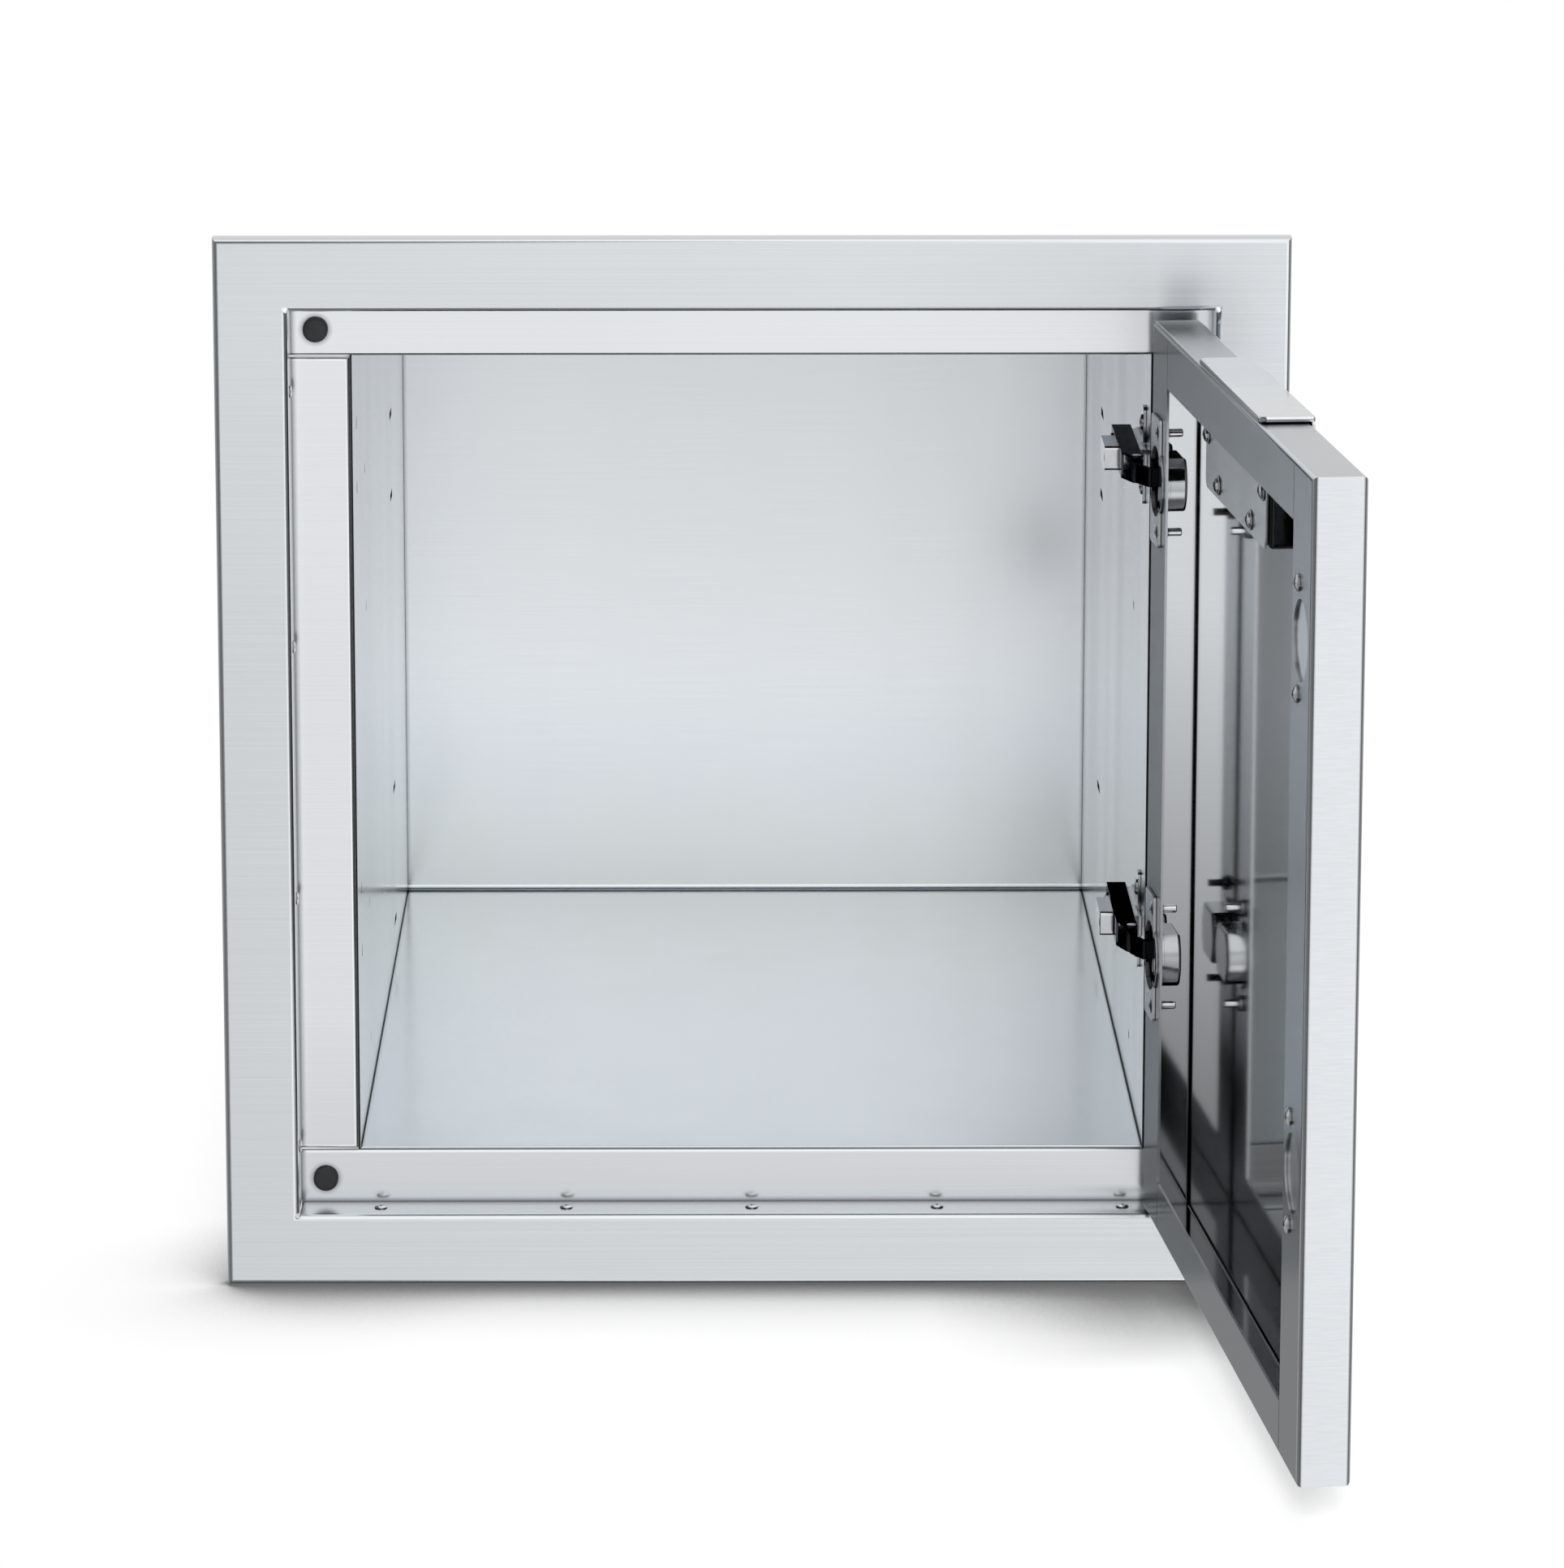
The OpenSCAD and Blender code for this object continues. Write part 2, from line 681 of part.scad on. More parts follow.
// The arm: a channel over the mounting plate's rail, whose two walls run forward as a fork
module hinge_arm(z) {
    translate([0, 0, door_z0 + z]) difference() {
        translate([0, 0, -arm_h/2]) linear_extrude(arm_h) {
            translate([arm_web_x, arm_front_y]) square([arm_side_x - arm_web_x, arm_y1 - arm_front_y]);
            hull() {
                translate(arm_pin) circle(arm_nose_r);
                translate([arm_web_x, arm_front_y]) square([arm_side_x - arm_web_x, arm_sheet]);
            }
        }
        translate([arm_web_x + arm_sheet, arm_front_y, -arm_in_h/2])
            cube([arm_side_x, arm_y1, arm_in_h]);
        translate([arm_web_x - cut, 0, -arm_in_h/2]) cube([arm_side_x, arm_front_y + fit, arm_in_h]);
        translate([arm_pin[0], arm_pin[1], -arm_h]) cylinder(h = 2*arm_h, d = pin_d + 2*fit);
        arm_screw_places() translate([0, 0, -arm_sheet - cut])
            cylinder(h = arm_sheet + 2*cut, d = cup_screw_d + 2*fit);
    }
}

module upper_hinge_arm() {
    color(zinc) placed() hinge_arm(hinge_z[1]);
}

module lower_hinge_arm() {
    color(zinc) placed() hinge_arm(hinge_z[0]);
}

module hinge_arm_screws() {
    color(zinc) placed()
        for (z = hinge_z)
            translate([0, 0, door_z0 + z]) arm_screw_places()
                screw(cup_screw_d, arm_screw_len, door_head_d, door_head_h - 0.6);
}

// Short pins in the fork's walls; they stop short of the link, which swings freely between them
module hinge_arm_pins() {
    inner = link_h/2 + run_gap;
    color(zinc) placed()
        for (z = hinge_z, side = [-1, 1])
            translate([arm_pin[0], arm_pin[1], door_z0 + z]) mirror([0, 0, side > 0 ? 0 : 1]) {
                translate([0, 0, inner]) cylinder(h = arm_h/2 - inner + fit, d = pin_d);
                translate([0, 0, arm_h/2]) cylinder(h = 0.6, d = pin_d + 1.6);
            }
}

module damper(z) {
    translate([arm_web_x - damper_t, recess_d + damper_y, door_z0 + z - arm_h/2 + 0.4])
        difference() {
            rotate([90, 0, 90]) linear_extrude(damper_t) rounded_rect([damper_len, arm_h - 0.8], 2);
            translate([-cut, 4, (arm_h - 0.8)/2]) rotate([0, 90, 0]) cylinder(h = 2, d = 4);
        }
}

module upper_damper() {
    color(zinc) placed() damper(hinge_z[1]);
}

module lower_damper() {
    color(zinc) placed() damper(hinge_z[0]);
}

// Door

// The two cup screws' places beside a cup hole; inward is the direction away from the edge
module cup_screw_places(u, inward) {
    for (z = hinge_z, side = [-1, 1])
        out_of_inner_face(u + inward*cup_screw_off, 0, z + side*cup_screw_pitch/2) children();
}

// A block with every long edge of its rim rounded: the door's outside, or the hollow in it
module door_block(inset) {
    w = door_w - 2*inset;
    h = door_h - 2*inset;
    t = door_t - 2*inset;
    translate([inset, inset, inset]) crossed(w, h) {
        rounded_rect([w, t], door_bend - inset);
        rounded_rect([h, t], door_bend - inset);
    }
}

// One folded pan, open at the back between its flanges; upright seams part the side flanges from the other two
module door_pan() {
    color(steel) placed() in_door() difference() {
        door_block(0);
        door_block(sheet);
        translate([side_flange, -cut, bottom_flange])
            cube([door_w - 2*side_flange, sheet + 2*cut, door_h - bottom_flange - top_flange]);
        for (u = [side_flange, door_w - side_flange - seam])
            for (end = [[door_bend, bottom_flange], [door_h - top_flange - cut, top_flange]])
                translate([u, -cut, end[0]]) cube([seam, sheet + 2*cut, end[1] + cut - door_bend]);
        for (z = hinge_z, u = [cup_u, spare_u])
            out_of_inner_face(u, sheet + cut, z) cylinder(h = sheet + 2*cut, d = cup_d + 2*screw_clear);
        translate([0, sheet + cut, 0]) cup_screw_places(cup_u, 1) cylinder(h = sheet + 2*cut, d = nut_d + 2*fit);
        translate([0, sheet + cut, 0]) cup_screw_places(spare_u, -1)
            cylinder(h = sheet + 2*cut, d = cup_screw_d + 2*screw_clear);
        handle_cutout();
    }
}

// The casting's body goes through the door's top edge and skin
module handle_cutout() {
    u0 = handle_u0 + handle_lap - screw_clear;
    w = handle_len - 2*handle_lap + 2*screw_clear;
    z0 = door_h - handle_drop + handle_lap - screw_clear;
    translate([u0, handle_back - screw_clear, z0]) cube([w, door_t, handle_drop + cut]);
}

module handle_screw_places() {
    for (row = [[handle_screw_in_high, handle_screw_high], [handle_screw_in_low, handle_screw_low]], side = [-1, 1])
        out_of_inner_face(door_w/2 + side*(handle_len/2 - row[0]), handle_back - fit - back_plate_t, door_h - row[1])
            children();
}

module handle_body() {
    body_len = handle_len - 2*handle_lap;
    body_u0 = handle_u0 + handle_lap;
    body_z0 = door_h - handle_drop + handle_lap;
    face_t = door_t + handle_proud;
    pocket_len = handle_len - 2*pocket_in;
    pocket_u0 = handle_u0 + pocket_in;
    pocket_z0 = door_h - pocket_drop - pocket_h;
    color(polished) placed() in_door() difference() {
        union() {
            // body behind the door's skin
            translate([body_u0, door_t + fit, body_z0]) rotate([90, 0, 0])
                linear_extrude(door_t - handle_back + fit) rounded_rect([body_len, door_h - body_z0 + handle_rise/2], 4);
            // face that laps the skin
            translate([handle_u0, face_t, door_h - handle_drop]) rotate([90, 0, 0])
                linear_extrude(handle_proud) rounded_rect([handle_len, handle_drop + handle_rise], 1.6);
            // top plate over the door's edge
            translate([handle_u0, 0, door_h]) rotate([90, 0, 90])
                linear_extrude(handle_len) rounded_rect([face_t, handle_rise], 1);
        }
        // opening of the finger pocket
        translate([pocket_u0, face_t + cut, pocket_z0]) rotate([90, 0, 0])
            linear_extrude(handle_proud + handle_wall + 2*cut) rounded_rect([pocket_len, pocket_h], 8);
        // hollow behind the opening, which runs up behind the lip for the fingertips
        translate([pocket_u0 - 3, door_t - handle_wall, pocket_z0 - 1]) rotate([90, 0, 0])
            linear_extrude(door_t - handle_back - 2*handle_wall)
                rounded_rect([pocket_len + 6, pocket_h + pocket_drop - handle_wall], 6);
        translate([0, back_plate_t + 5, 0]) handle_screw_places() cylinder(h = 5 + cut, d = cup_screw_d + 2*fit - 0.6);
    }
}

module handle_back_plate() {
    w = handle_len - 2*handle_lap - 1.6;
    color(steel_dull) placed() in_door() difference() {
        translate([(door_w - w)/2, handle_back - fit, door_h - handle_drop + handle_lap]) rotate([90, 0, 0])
            linear_extrude(back_plate_t) rounded_rect([w, handle_drop - handle_lap - sheet - 1], 5);
        translate([0, back_plate_t + cut, 0]) handle_screw_places()
            cylinder(h = back_plate_t + 2*cut, d = cup_screw_d + 2*screw_clear - 0.6);
    }
}

module handle_washers() {
    color(zinc) placed() in_door() handle_screw_places() difference() {
        cylinder(h = 0.8, d = washer_d);
        translate([0, 0, -cut]) cylinder(h = 1 + 2*cut, d = cup_screw_d - 0.4);
    }
}

module handle_screws() {
    color(zinc) placed() in_door() handle_screw_places() translate([0, 0, 0.8])
        screw(cup_screw_d - 0.6, 0.8 + back_plate_t + 4, door_head_d - 0.6, door_head_h - 0.4);
}

module hole_covers() {
    color(steel_dull) placed() in_door() difference() {
        for (z = hinge_z)
            translate([spare_u - cover_w/2, 2*sheet, z - cover_h/2]) rotate([90, 0, 0])
                linear_extrude(sheet) rounded_rect([min(cover_w, 2*(spare_in - sheet - run_gap)), cover_h], 2);
        translate([0, 2*sheet + cut, 0]) cup_screw_places(spare_u, -1)
            cylinder(h = sheet + 2*cut, d = cup_screw_d + 2*fit);
    }
}

module hole_cover_screws() {
    color(zinc) placed() in_door() cup_screw_places(spare_u, -1)
        screw(cup_screw_d, 2*sheet + 5, door_head_d, door_head_h);
}

// Hinges, the door's side

module cup_round(d, from, to) {
    out_of_inner_face(cup_u, to, 0) cylinder(h = to - from, d = d, $fn = 96);
}

module cup_block(w, from, to) {
    translate([cup_u - cup_d, from, -w/2]) cube([2*cup_d, to - from, w]);
}

module hinge_cup(z) {
    collar_t = 3;
    rim_t = 1;
    in_door() translate([0, 0, z]) difference() {
        union() {
            translate([cup_u - 2 - cup_plate_w/2, 0, -cup_plate_h/2]) rotate([90, 0, 0])
                linear_extrude(cup_plate_t) rounded_rect([cup_plate_w, cup_plate_h], 7);
            cup_round(cup_d, -rim_t, collar_t);
            intersection() {
                cup_round(cup_d, 0, cup_depth);
                cup_block(cup_body_h, 0, cup_depth);
            }
        }
        cup_round(cup_d - 2*cup_wall, -cup_plate_t - cut, collar_t - 1);
        intersection() {
            cup_round(cup_d - 2*cup_wall, -cup_plate_t - cut, cup_depth - cup_wall);
            cup_block(cup_body_h - 2*cup_wall, -cup_plate_t - cut, cup_depth - cup_wall);
        }
        for (side = [-1, 1])
            out_of_inner_face(cup_u + cup_screw_off, 0, side*cup_screw_pitch/2) {
                translate([0, 0, -cut]) cylinder(h = cup_plate_t + 2*cut, d = cup_screw_d + 2*screw_clear);
                translate([0, 0, cup_plate_t - 0.6]) cylinder(h = 1, d = door_head_d + 2*screw_clear);
            }
        translate([pin_u, pin_t, -cup_d]) cylinder(h = 2*cup_d, d = pin_d + 2*fit);
    }
}

module upper_hinge_cup() {
    color(zinc) placed() hinge_cup(hinge_z[1]);
}

module lower_hinge_cup() {
    color(zinc) placed() hinge_cup(hinge_z[0]);
}

module cup_screws() {
    color(zinc) placed() in_door() translate([0, 0.6 - cup_plate_t, 0]) cup_screw_places(cup_u, 1)
        screw(cup_screw_d, cup_plate_t + nut_len - 2, door_head_d, door_head_h - 1);
}

module cup_nuts() {
    color(zinc) placed() in_door() cup_screw_places(cup_u, 1) rivet_nut();
}

module cup_pins() {
    reach = sqrt(pow(cup_d/2, 2) - pow(cup_u - pin_u, 2)) - 0.3;
    color(zinc) placed() in_door()
        for (z = hinge_z)
            translate([pin_u, pin_t, z - reach]) cylinder(h = 2*reach, d = pin_d);
}

// The gooseneck link, drawn along X from the cup pin towards the arm pin
module link_outline() {
    knee = link_len/2;
    circle(link_eye_r);
    translate([-link_t*0.75, 0]) square([link_t*1.5, link_rise]);
    translate([0, link_rise]) circle(link_t*0.5);
    translate([-link_t*0.2, link_rise - link_t/2]) square([knee + link_t*0.2, link_t]);
    translate([knee, link_rise - 0.4]) circle(link_t*0.5 + 0.4);
    polygon([
        [knee, link_rise + link_t/2], [knee, link_rise - link_t/2 - 0.8],
        [link_len - link_end_r, 0], [link_len, link_end_r]
    ]);
    translate([link_len, 0]) circle(link_end_r);
}

module hinge_link(z) {
    translate([cup_pin_open[0], cup_pin_open[1], door_z0 + z]) rotate(link_dir) difference() {
        translate([0, 0, -link_h/2]) linear_extrude(link_h) link_outline();
        for (x = [0, link_len])
            translate([x, 0, -link_h]) cylinder(h = 2*link_h, d = pin_d + 4*fit);
    }
}

module upper_hinge_link() {
    color(steel_dull) placed() hinge_link(hinge_z[1]);
}

module lower_hinge_link() {
    color(steel_dull) placed() hinge_link(hinge_z[0]);
}

face_frame();
top_stop();
bottom_stop();
left_post();
right_post();
left_side_panel();
right_side_panel();
back_panel();
floor_panel();
roof_panel();
door_bumpers();
side_wall_screws();
ledge_screws();
upper_mounting_plate();
lower_mounting_plate();
mounting_plate_screws();
mounting_plate_nuts();
upper_hinge_arm();
lower_hinge_arm();
hinge_arm_screws();
hinge_arm_pins();
upper_damper();
lower_damper();
door_pan();
handle_body();
handle_back_plate();
handle_screws();
handle_washers();
hole_covers();
hole_cover_screws();
upper_hinge_cup();
lower_hinge_cup();
cup_screws();
cup_nuts();
cup_pins();
upper_hinge_link();
lower_hinge_link();
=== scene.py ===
"""Built-in steel storage cabinet: face frame, deep box and a side-hung door that stands open.

Laid out as an add-on and run as a script. Sizes are in metres, in the loaded model's frame.
"""

import math

import bmesh
import bpy
from bpy.props import FloatProperty, FloatVectorProperty, PointerProperty
from bpy.types import Operator, Panel, PropertyGroup
from mathutils import Matrix, Vector


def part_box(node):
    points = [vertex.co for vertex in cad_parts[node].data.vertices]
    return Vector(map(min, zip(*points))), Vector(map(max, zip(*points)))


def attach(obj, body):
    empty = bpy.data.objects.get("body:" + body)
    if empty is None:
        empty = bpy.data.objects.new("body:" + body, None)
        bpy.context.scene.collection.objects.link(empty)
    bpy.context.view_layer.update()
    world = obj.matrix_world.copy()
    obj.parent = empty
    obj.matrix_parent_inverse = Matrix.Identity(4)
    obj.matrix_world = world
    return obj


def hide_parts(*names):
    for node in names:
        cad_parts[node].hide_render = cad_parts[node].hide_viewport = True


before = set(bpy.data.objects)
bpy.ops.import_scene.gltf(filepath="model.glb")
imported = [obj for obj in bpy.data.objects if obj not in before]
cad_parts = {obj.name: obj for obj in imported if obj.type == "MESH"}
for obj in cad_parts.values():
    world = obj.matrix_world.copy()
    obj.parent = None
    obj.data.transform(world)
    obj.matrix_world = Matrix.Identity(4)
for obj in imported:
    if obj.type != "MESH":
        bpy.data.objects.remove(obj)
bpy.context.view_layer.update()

bl_info = {
    "name": "Built-in storage cabinet",
    "version": (1, 0, 0),
    "blender": (4, 5, 0),
    "location": "3D View > Sidebar > Cabinet",
    "description": "Dresses the loaded cabinet with its fittings, finishes, stage and camera",
    "category": "Object",
}

MM = 0.001

# The door's own directions at rest: u from its hinge edge, t from its inner face outward, and up
DOOR_TURN = math.radians(-85.0)
DOOR_FOOT = 0.0369
DOOR_CORNER = Vector((0.192185, 0.001788, DOOR_FOOT))
DOOR = Matrix.Translation(DOOR_CORNER) @ Matrix.Rotation(DOOR_TURN, 4, "Z")
TO_DOOR = DOOR.inverted()

# Millimetres in the door's own directions
DOOR_SIZE = 440
DOOR_HINGES = (133, 366)
HANDLE_MIDDLE = 220
HANDLE_SCREWS = ((144.5, 409), (295.5, 409), (175.75, 390.4), (264.25, 390.4))
CUP_U = 22.5
CUP_SCREW_U = 27.5
CUP_PIN = (10, 3)
COVER_SCREW_U = 411
HOLE_SCREW_RISES = (-24, 24)

# Faces of the recess
FACE_Y = -0.0064
OPEN_X = 0.222
OPEN_LOW = 0.0355
OPEN_HIGH = 0.4825
STOP_Y = 0.0184

# Screws and bumpers in the recess
RECESS_SCREW_Y = 0.0071
WALL_SCREW_LOW = 0.0669
WALL_SCREW_STEP = 0.1250667
LEDGE_SCREW_STEP = 0.09125
BUMPER_X = -0.210
BUMPER_HEIGHTS = (0.0475, 0.4705)

# Inside faces of the box
INSIDE_X = 0.1926
BACK_Y = 0.5704

# The hinges on the cabinet's side
HINGE_HEIGHTS = [DOOR_FOOT + height * MM for height in DOOR_HINGES]
PLATE_FACE_X = 0.1911
PLATE_SCREW_Y = 0.0554
PLATE_SCREW_RISES = (-0.016, 0.016)
ARM_FACE_X = 0.179038
ARM_SCREW_YS = (0.0964, 0.0854)
ARM_PIN = (0.185938, 0.014027)
ARM_PIN_RISE = 0.0049

# The camera that was fitted to the photograph, and the lamp
CAMERA_PLACE = (-0.0232, -3.2494, 0.966)
CAMERA_TURN = (math.radians(78.431), 0, math.radians(-0.348))
CAMERA_SHIFT = (0.02376, -0.0650)
LAMP_PLACE = (0.02, -3.2, 1.13)
LAMP_SIZE = (0.32, 0.7)
LAMP_AIM = (0.15, -0.15, 0.03)

# The brightest tone of the studio that the metal reflects
TOP_TONE = 1.25


# Selecting and shaping


def start_clean():
    """Leaves edit mode and selects nothing."""
    if bpy.context.object and bpy.context.object.mode != "OBJECT":
        bpy.ops.object.mode_set(mode="OBJECT")
    bpy.ops.object.select_all(action="DESELECT")


def only(obj):
    """Makes obj the one selected and active object."""
    start_clean()
    obj.select_set(True)
    bpy.context.view_layer.objects.active = obj


def name_piece(name):
    """Names the object that was just added, and its mesh."""
    obj = bpy.context.object
    obj.name = name
    obj.data.name = name
    return obj


def settle():
    """Puts the active object's place into its mesh."""
    bpy.ops.object.transform_apply(location=True, rotation=True, scale=True)


def open_piece(name):
    """Names the object that was just added, and opens it with everything deselected."""
    obj = name_piece(name)
    settle()
    bpy.ops.object.mode_set(mode="EDIT")
    bpy.ops.mesh.select_all(action="DESELECT")
    return obj


def add_box(name, low, high):
    """A box between two corners, left in edit mode."""
    start_clean()
    low, high = Vector(low), Vector(high)
    bpy.ops.mesh.primitive_cube_add(size=1, location=(low + high) / 2, scale=high - low)
    return open_piece(name)


def add_cylinder(name, radius, depth, centre, axis, sides):
    """A cylinder along an axis, left in edit mode."""
    start_clean()
    turn = {"X": (0, math.pi / 2, 0), "Y": (math.pi / 2, 0, 0), "Z": (0, 0, 0)}[axis]
    bpy.ops.mesh.primitive_cylinder_add(
        vertices=sides, radius=radius, depth=depth, location=centre, rotation=turn
    )
    return open_piece(name)


def pick(obj, kind, test):
    """Selects the faces or edges that pass test, and nothing else."""
    bpy.ops.mesh.select_all(action="DESELECT")
    bpy.ops.mesh.select_mode(type=kind)
    mesh = bmesh.from_edit_mesh(obj.data)
    for part in {"FACE": mesh.faces, "EDGE": mesh.edges}[kind]:
        part.select_set(bool(test(part)))
    mesh.select_flush_mode()
    bmesh.update_edit_mesh(obj.data)


def pick_faces(obj, normal, tip=None):
    """Selects the faces that look along normal, and whose middle has the value tip along it."""
    normal = Vector(normal)

    def fits(face):
        far = face.calc_center_median().dot(normal)
        return face.normal.dot(normal) > 0.9 and (tip is None or abs(far - tip) < 1e-4)

    pick(obj, "FACE", fits)


def pick_edges_along(obj, axis, test=lambda middle: True):
    """Selects the straight edges that lie along an axis and whose middle passes test."""
    axis = Vector(axis)

    def fits(edge):
        a, b = (v.co for v in edge.verts)
        run = b - a
        straight = run.length > 1e-6 and abs(run.normalized().dot(axis)) > 0.99
        return straight and test((a + b) / 2)

    pick(obj, "EDGE", fits)


def bevel(width, segments):
    """Rounds the selected edges."""
    bpy.ops.mesh.bevel(offset=width, offset_type="OFFSET", segments=segments, profile=0.5)


def add_modifier(obj, kind, **values):
    """Adds a modifier to obj and applies it."""
    only(obj)
    modifier = obj.modifiers.new(kind.title(), kind)
    for key, value in values.items():
        setattr(modifier, key, value)
    bpy.ops.object.modifier_apply(modifier=modifier.name)


def round_edges(obj, width, segments=3, angle=40):
    """Rounds every sharp edge of a finished shape."""
    limit = {"limit_method": "ANGLE", "angle_limit": math.radians(angle)}
    add_modifier(obj, "BEVEL", width=width, segments=segments, harden_normals=False, **limit)


def cut_away(obj, cutter):
    """Cuts the shape of cutter out of obj, and removes cutter."""
    add_modifier(obj, "BOOLEAN", operation="DIFFERENCE", solver="EXACT", object=cutter)
    bpy.data.objects.remove(cutter)


def weld_on(obj, other):
    """Joins the shape of other to obj, and removes other."""
    add_modifier(obj, "BOOLEAN", operation="UNION", solver="EXACT", object=other)
    bpy.data.objects.remove(other)


def copy_at(obj, name, place):
    """A copy of obj with its own mesh, put at place with its place in its mesh."""
    start_clean()
    piece = obj.copy()
    piece.data = obj.data.copy()
    piece.name = name
    piece.data.name = name
    bpy.context.scene.collection.objects.link(piece)
    piece.matrix_world = place
    only(piece)
    settle()
    return piece


def merged_copy(node, ending="_sheet"):
    """A new piece from a loaded node's shape, its triangles merged into whole faces."""
    start_clean()
    piece = bpy.data.objects.new(node + ending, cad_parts[node].data.copy())
    piece.data.name = piece.name
    bpy.context.scene.collection.objects.link(piece)
    only(piece)
    bpy.ops.mesh.customdata_custom_splitnormals_clear()
    bpy.ops.object.mode_set(mode="EDIT")
    bpy.ops.mesh.select_all(action="SELECT")
    bpy.ops.mesh.remove_doubles(threshold=2e-6)
    bpy.ops.mesh.dissolve_limited(angle_limit=math.radians(0.6))
    bpy.ops.object.mode_set(mode="OBJECT")
    return piece


def finish_piece(obj, body, material, node):
    """Gives a finished shape its shading, material and body, and hides the node it stands for."""
    only(obj)
    settle()
    bpy.ops.object.shade_smooth_by_angle(angle=math.radians(35))
    add_modifier(obj, "WEIGHTED_NORMAL", keep_sharp=True, mode="FACE_AREA")
    obj.data.materials.clear()
    obj.data.materials.append(finish(material))
    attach(obj, body)
    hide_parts(node)


def finish_in_door(obj, material, node):
    """Turns a piece from the door's own directions into place, and finishes it."""
    obj.matrix_world = DOOR @ obj.matrix_world
    finish_piece(obj, "door", material, node)


def paint(obj, material, test):
    """Gives the faces that pass test, a function of their middle and normal, another finish."""
    obj.data.materials.append(finish(material))
    only(obj)
    bpy.ops.object.mode_set(mode="EDIT")
    pick(obj, "FACE", lambda face: test(face.calc_center_median(), face.normal))
    obj.active_material_index = len(obj.data.materials) - 1
    bpy.ops.object.material_slot_assign()
    bpy.ops.object.mode_set(mode="OBJECT")


def facing(point, axis):
    """A place at point whose Z runs along axis."""
    turn = Vector(axis).to_track_quat("Z", "Y").to_matrix().to_4x4()
    return Matrix.Translation(Vector(point)) @ turn


# Materials


def new_material(name):
    """A material with only a surface shader and its output."""
    material = bpy.data.materials.new(name)
    material.use_nodes = True
    tree = material.node_tree
    return material, tree, tree.nodes["Principled BSDF"]


def new_metal(name, grazing=1.0):
    """A metal material; grazing is how bright it is when seen along its surface."""
    material, tree, shader = new_material(name)
    shader.inputs["Metallic"].default_value = 1.0
    shader.inputs["Specular Tint"].default_value = (grazing, grazing, grazing, 1)
    return material, tree, shader


def link(source, socket):
    """Joins an output to an input. The id_data of either is the tree they are in."""
    socket.id_data.links.new(source, socket)


def node(tree, kind, **values):
    """Adds a shader node; names of its inputs, written with underscores, take values."""
    made = tree.nodes.new("ShaderNode" + kind)
    for key, value in values.items():
        if hasattr(made, key):
            setattr(made, key, value)
        else:
            made.inputs[key.replace("_", " ")].default_value = value
    return made


def pattern(tree, turn, stretch):
    """Object coordinates turned about Z and stretched."""
    coordinates = node(tree, "TexCoord")
    mapping = node(tree, "Mapping", Rotation=(0, 0, turn), Scale=stretch)
    link(coordinates.outputs["Object"], mapping.inputs["Vector"])
    return mapping.outputs["Vector"]


def noise(tree, stretch, detail, turn=0.0):
    """Noise as fine along each axis as stretch says, turned about Z."""
    made = node(tree, "TexNoise", Scale=1.0, Detail=detail, Roughness=0.5)
    link(pattern(tree, turn, stretch), made.inputs["Vector"])
    return made.outputs["Fac"]


def spread(value, low, high, start=0.3, end=0.7):
    """Maps value from start..end to low..high."""
    ends = {"From_Min": start, "From_Max": end, "To_Min": low, "To_Max": high}
    made = node(value.id_data, "MapRange", **ends)
    link(value, made.inputs["Value"])
    return made.outputs["Result"]


def tint(value, dark, light):
    """A colour between dark and light."""
    made = node(value.id_data, "Mix", data_type="RGBA")
    made.inputs[6].default_value = (*dark, 1)
    made.inputs[7].default_value = (*light, 1)
    link(value, made.inputs["Factor"])
    return made.outputs[2]


def bump(height, distance, strength, before=None):
    """A relief whose height is a pattern, laid over the relief before."""
    made = node(height.id_data, "Bump", Distance=distance, Strength=strength)
    link(height, made.inputs["Height"])
    if before:
        link(before, made.inputs["Normal"])
    return made.outputs["Normal"]


def reckon(operation, a, b):
    """Two values put together by a Math node; b may be a plain number."""
    made = node(a.id_data, "Math", operation=operation)
    link(a, made.inputs[0])
    if isinstance(b, float):
        made.inputs[1].default_value = b
    else:
        link(b, made.inputs[1])
    return made.outputs[0]


def between(value, a, b):
    """A number that runs from a to b as value runs from 0 to 1."""
    made = node(value.id_data, "Mix", data_type="FLOAT")
    for place, source in ((0, value), (2, a), (3, b)):
        link(source, made.inputs[place])
    return made.outputs[0]


def tone_ramp(value, stops):
    """A grey tone that runs through stops, each a place from 0 to 1 and its tone."""
    made = node(value.id_data, "ValToRGB")
    ramp = made.color_ramp
    while len(ramp.elements) < len(stops):
        ramp.elements.new(1.0)
    for element, (place, tone) in zip(ramp.elements, stops):
        element.position = place
        element.color = (tone, tone, tone, 1)
    link(value, made.inputs["Fac"])
    return made.outputs["Color"]


def linear(colour):
    """A written colour as the shader's own numbers."""
    return tuple(c / 12.92 if c <= 0.04045 else ((c + 0.055) / 1.055) ** 2.4 for c in colour)


def shade(colour, factor):
    """A written colour as the shader's own numbers, times a factor."""
    return tuple(min(1.0, c * factor) for c in linear(colour))


def painted_crevice_shade(tree, reach, darkest):
    """A painted shade: a factor that falls from 1 to darkest where a surface lies close to
    another, darkening corners, joints and hollows.
    """
    near = node(tree, "AmbientOcclusion", Distance=reach, samples=4)
    return spread(near.outputs["AO"], darkest, 1.0, 0.5, 0.92)


def darken(colour, factor):
    """A colour times a factor."""
    made = node(colour.id_data, "VectorMath", operation="SCALE")
    link(colour, made.inputs[0])
    link(factor, made.inputs["Scale"])
    return made.outputs[0]


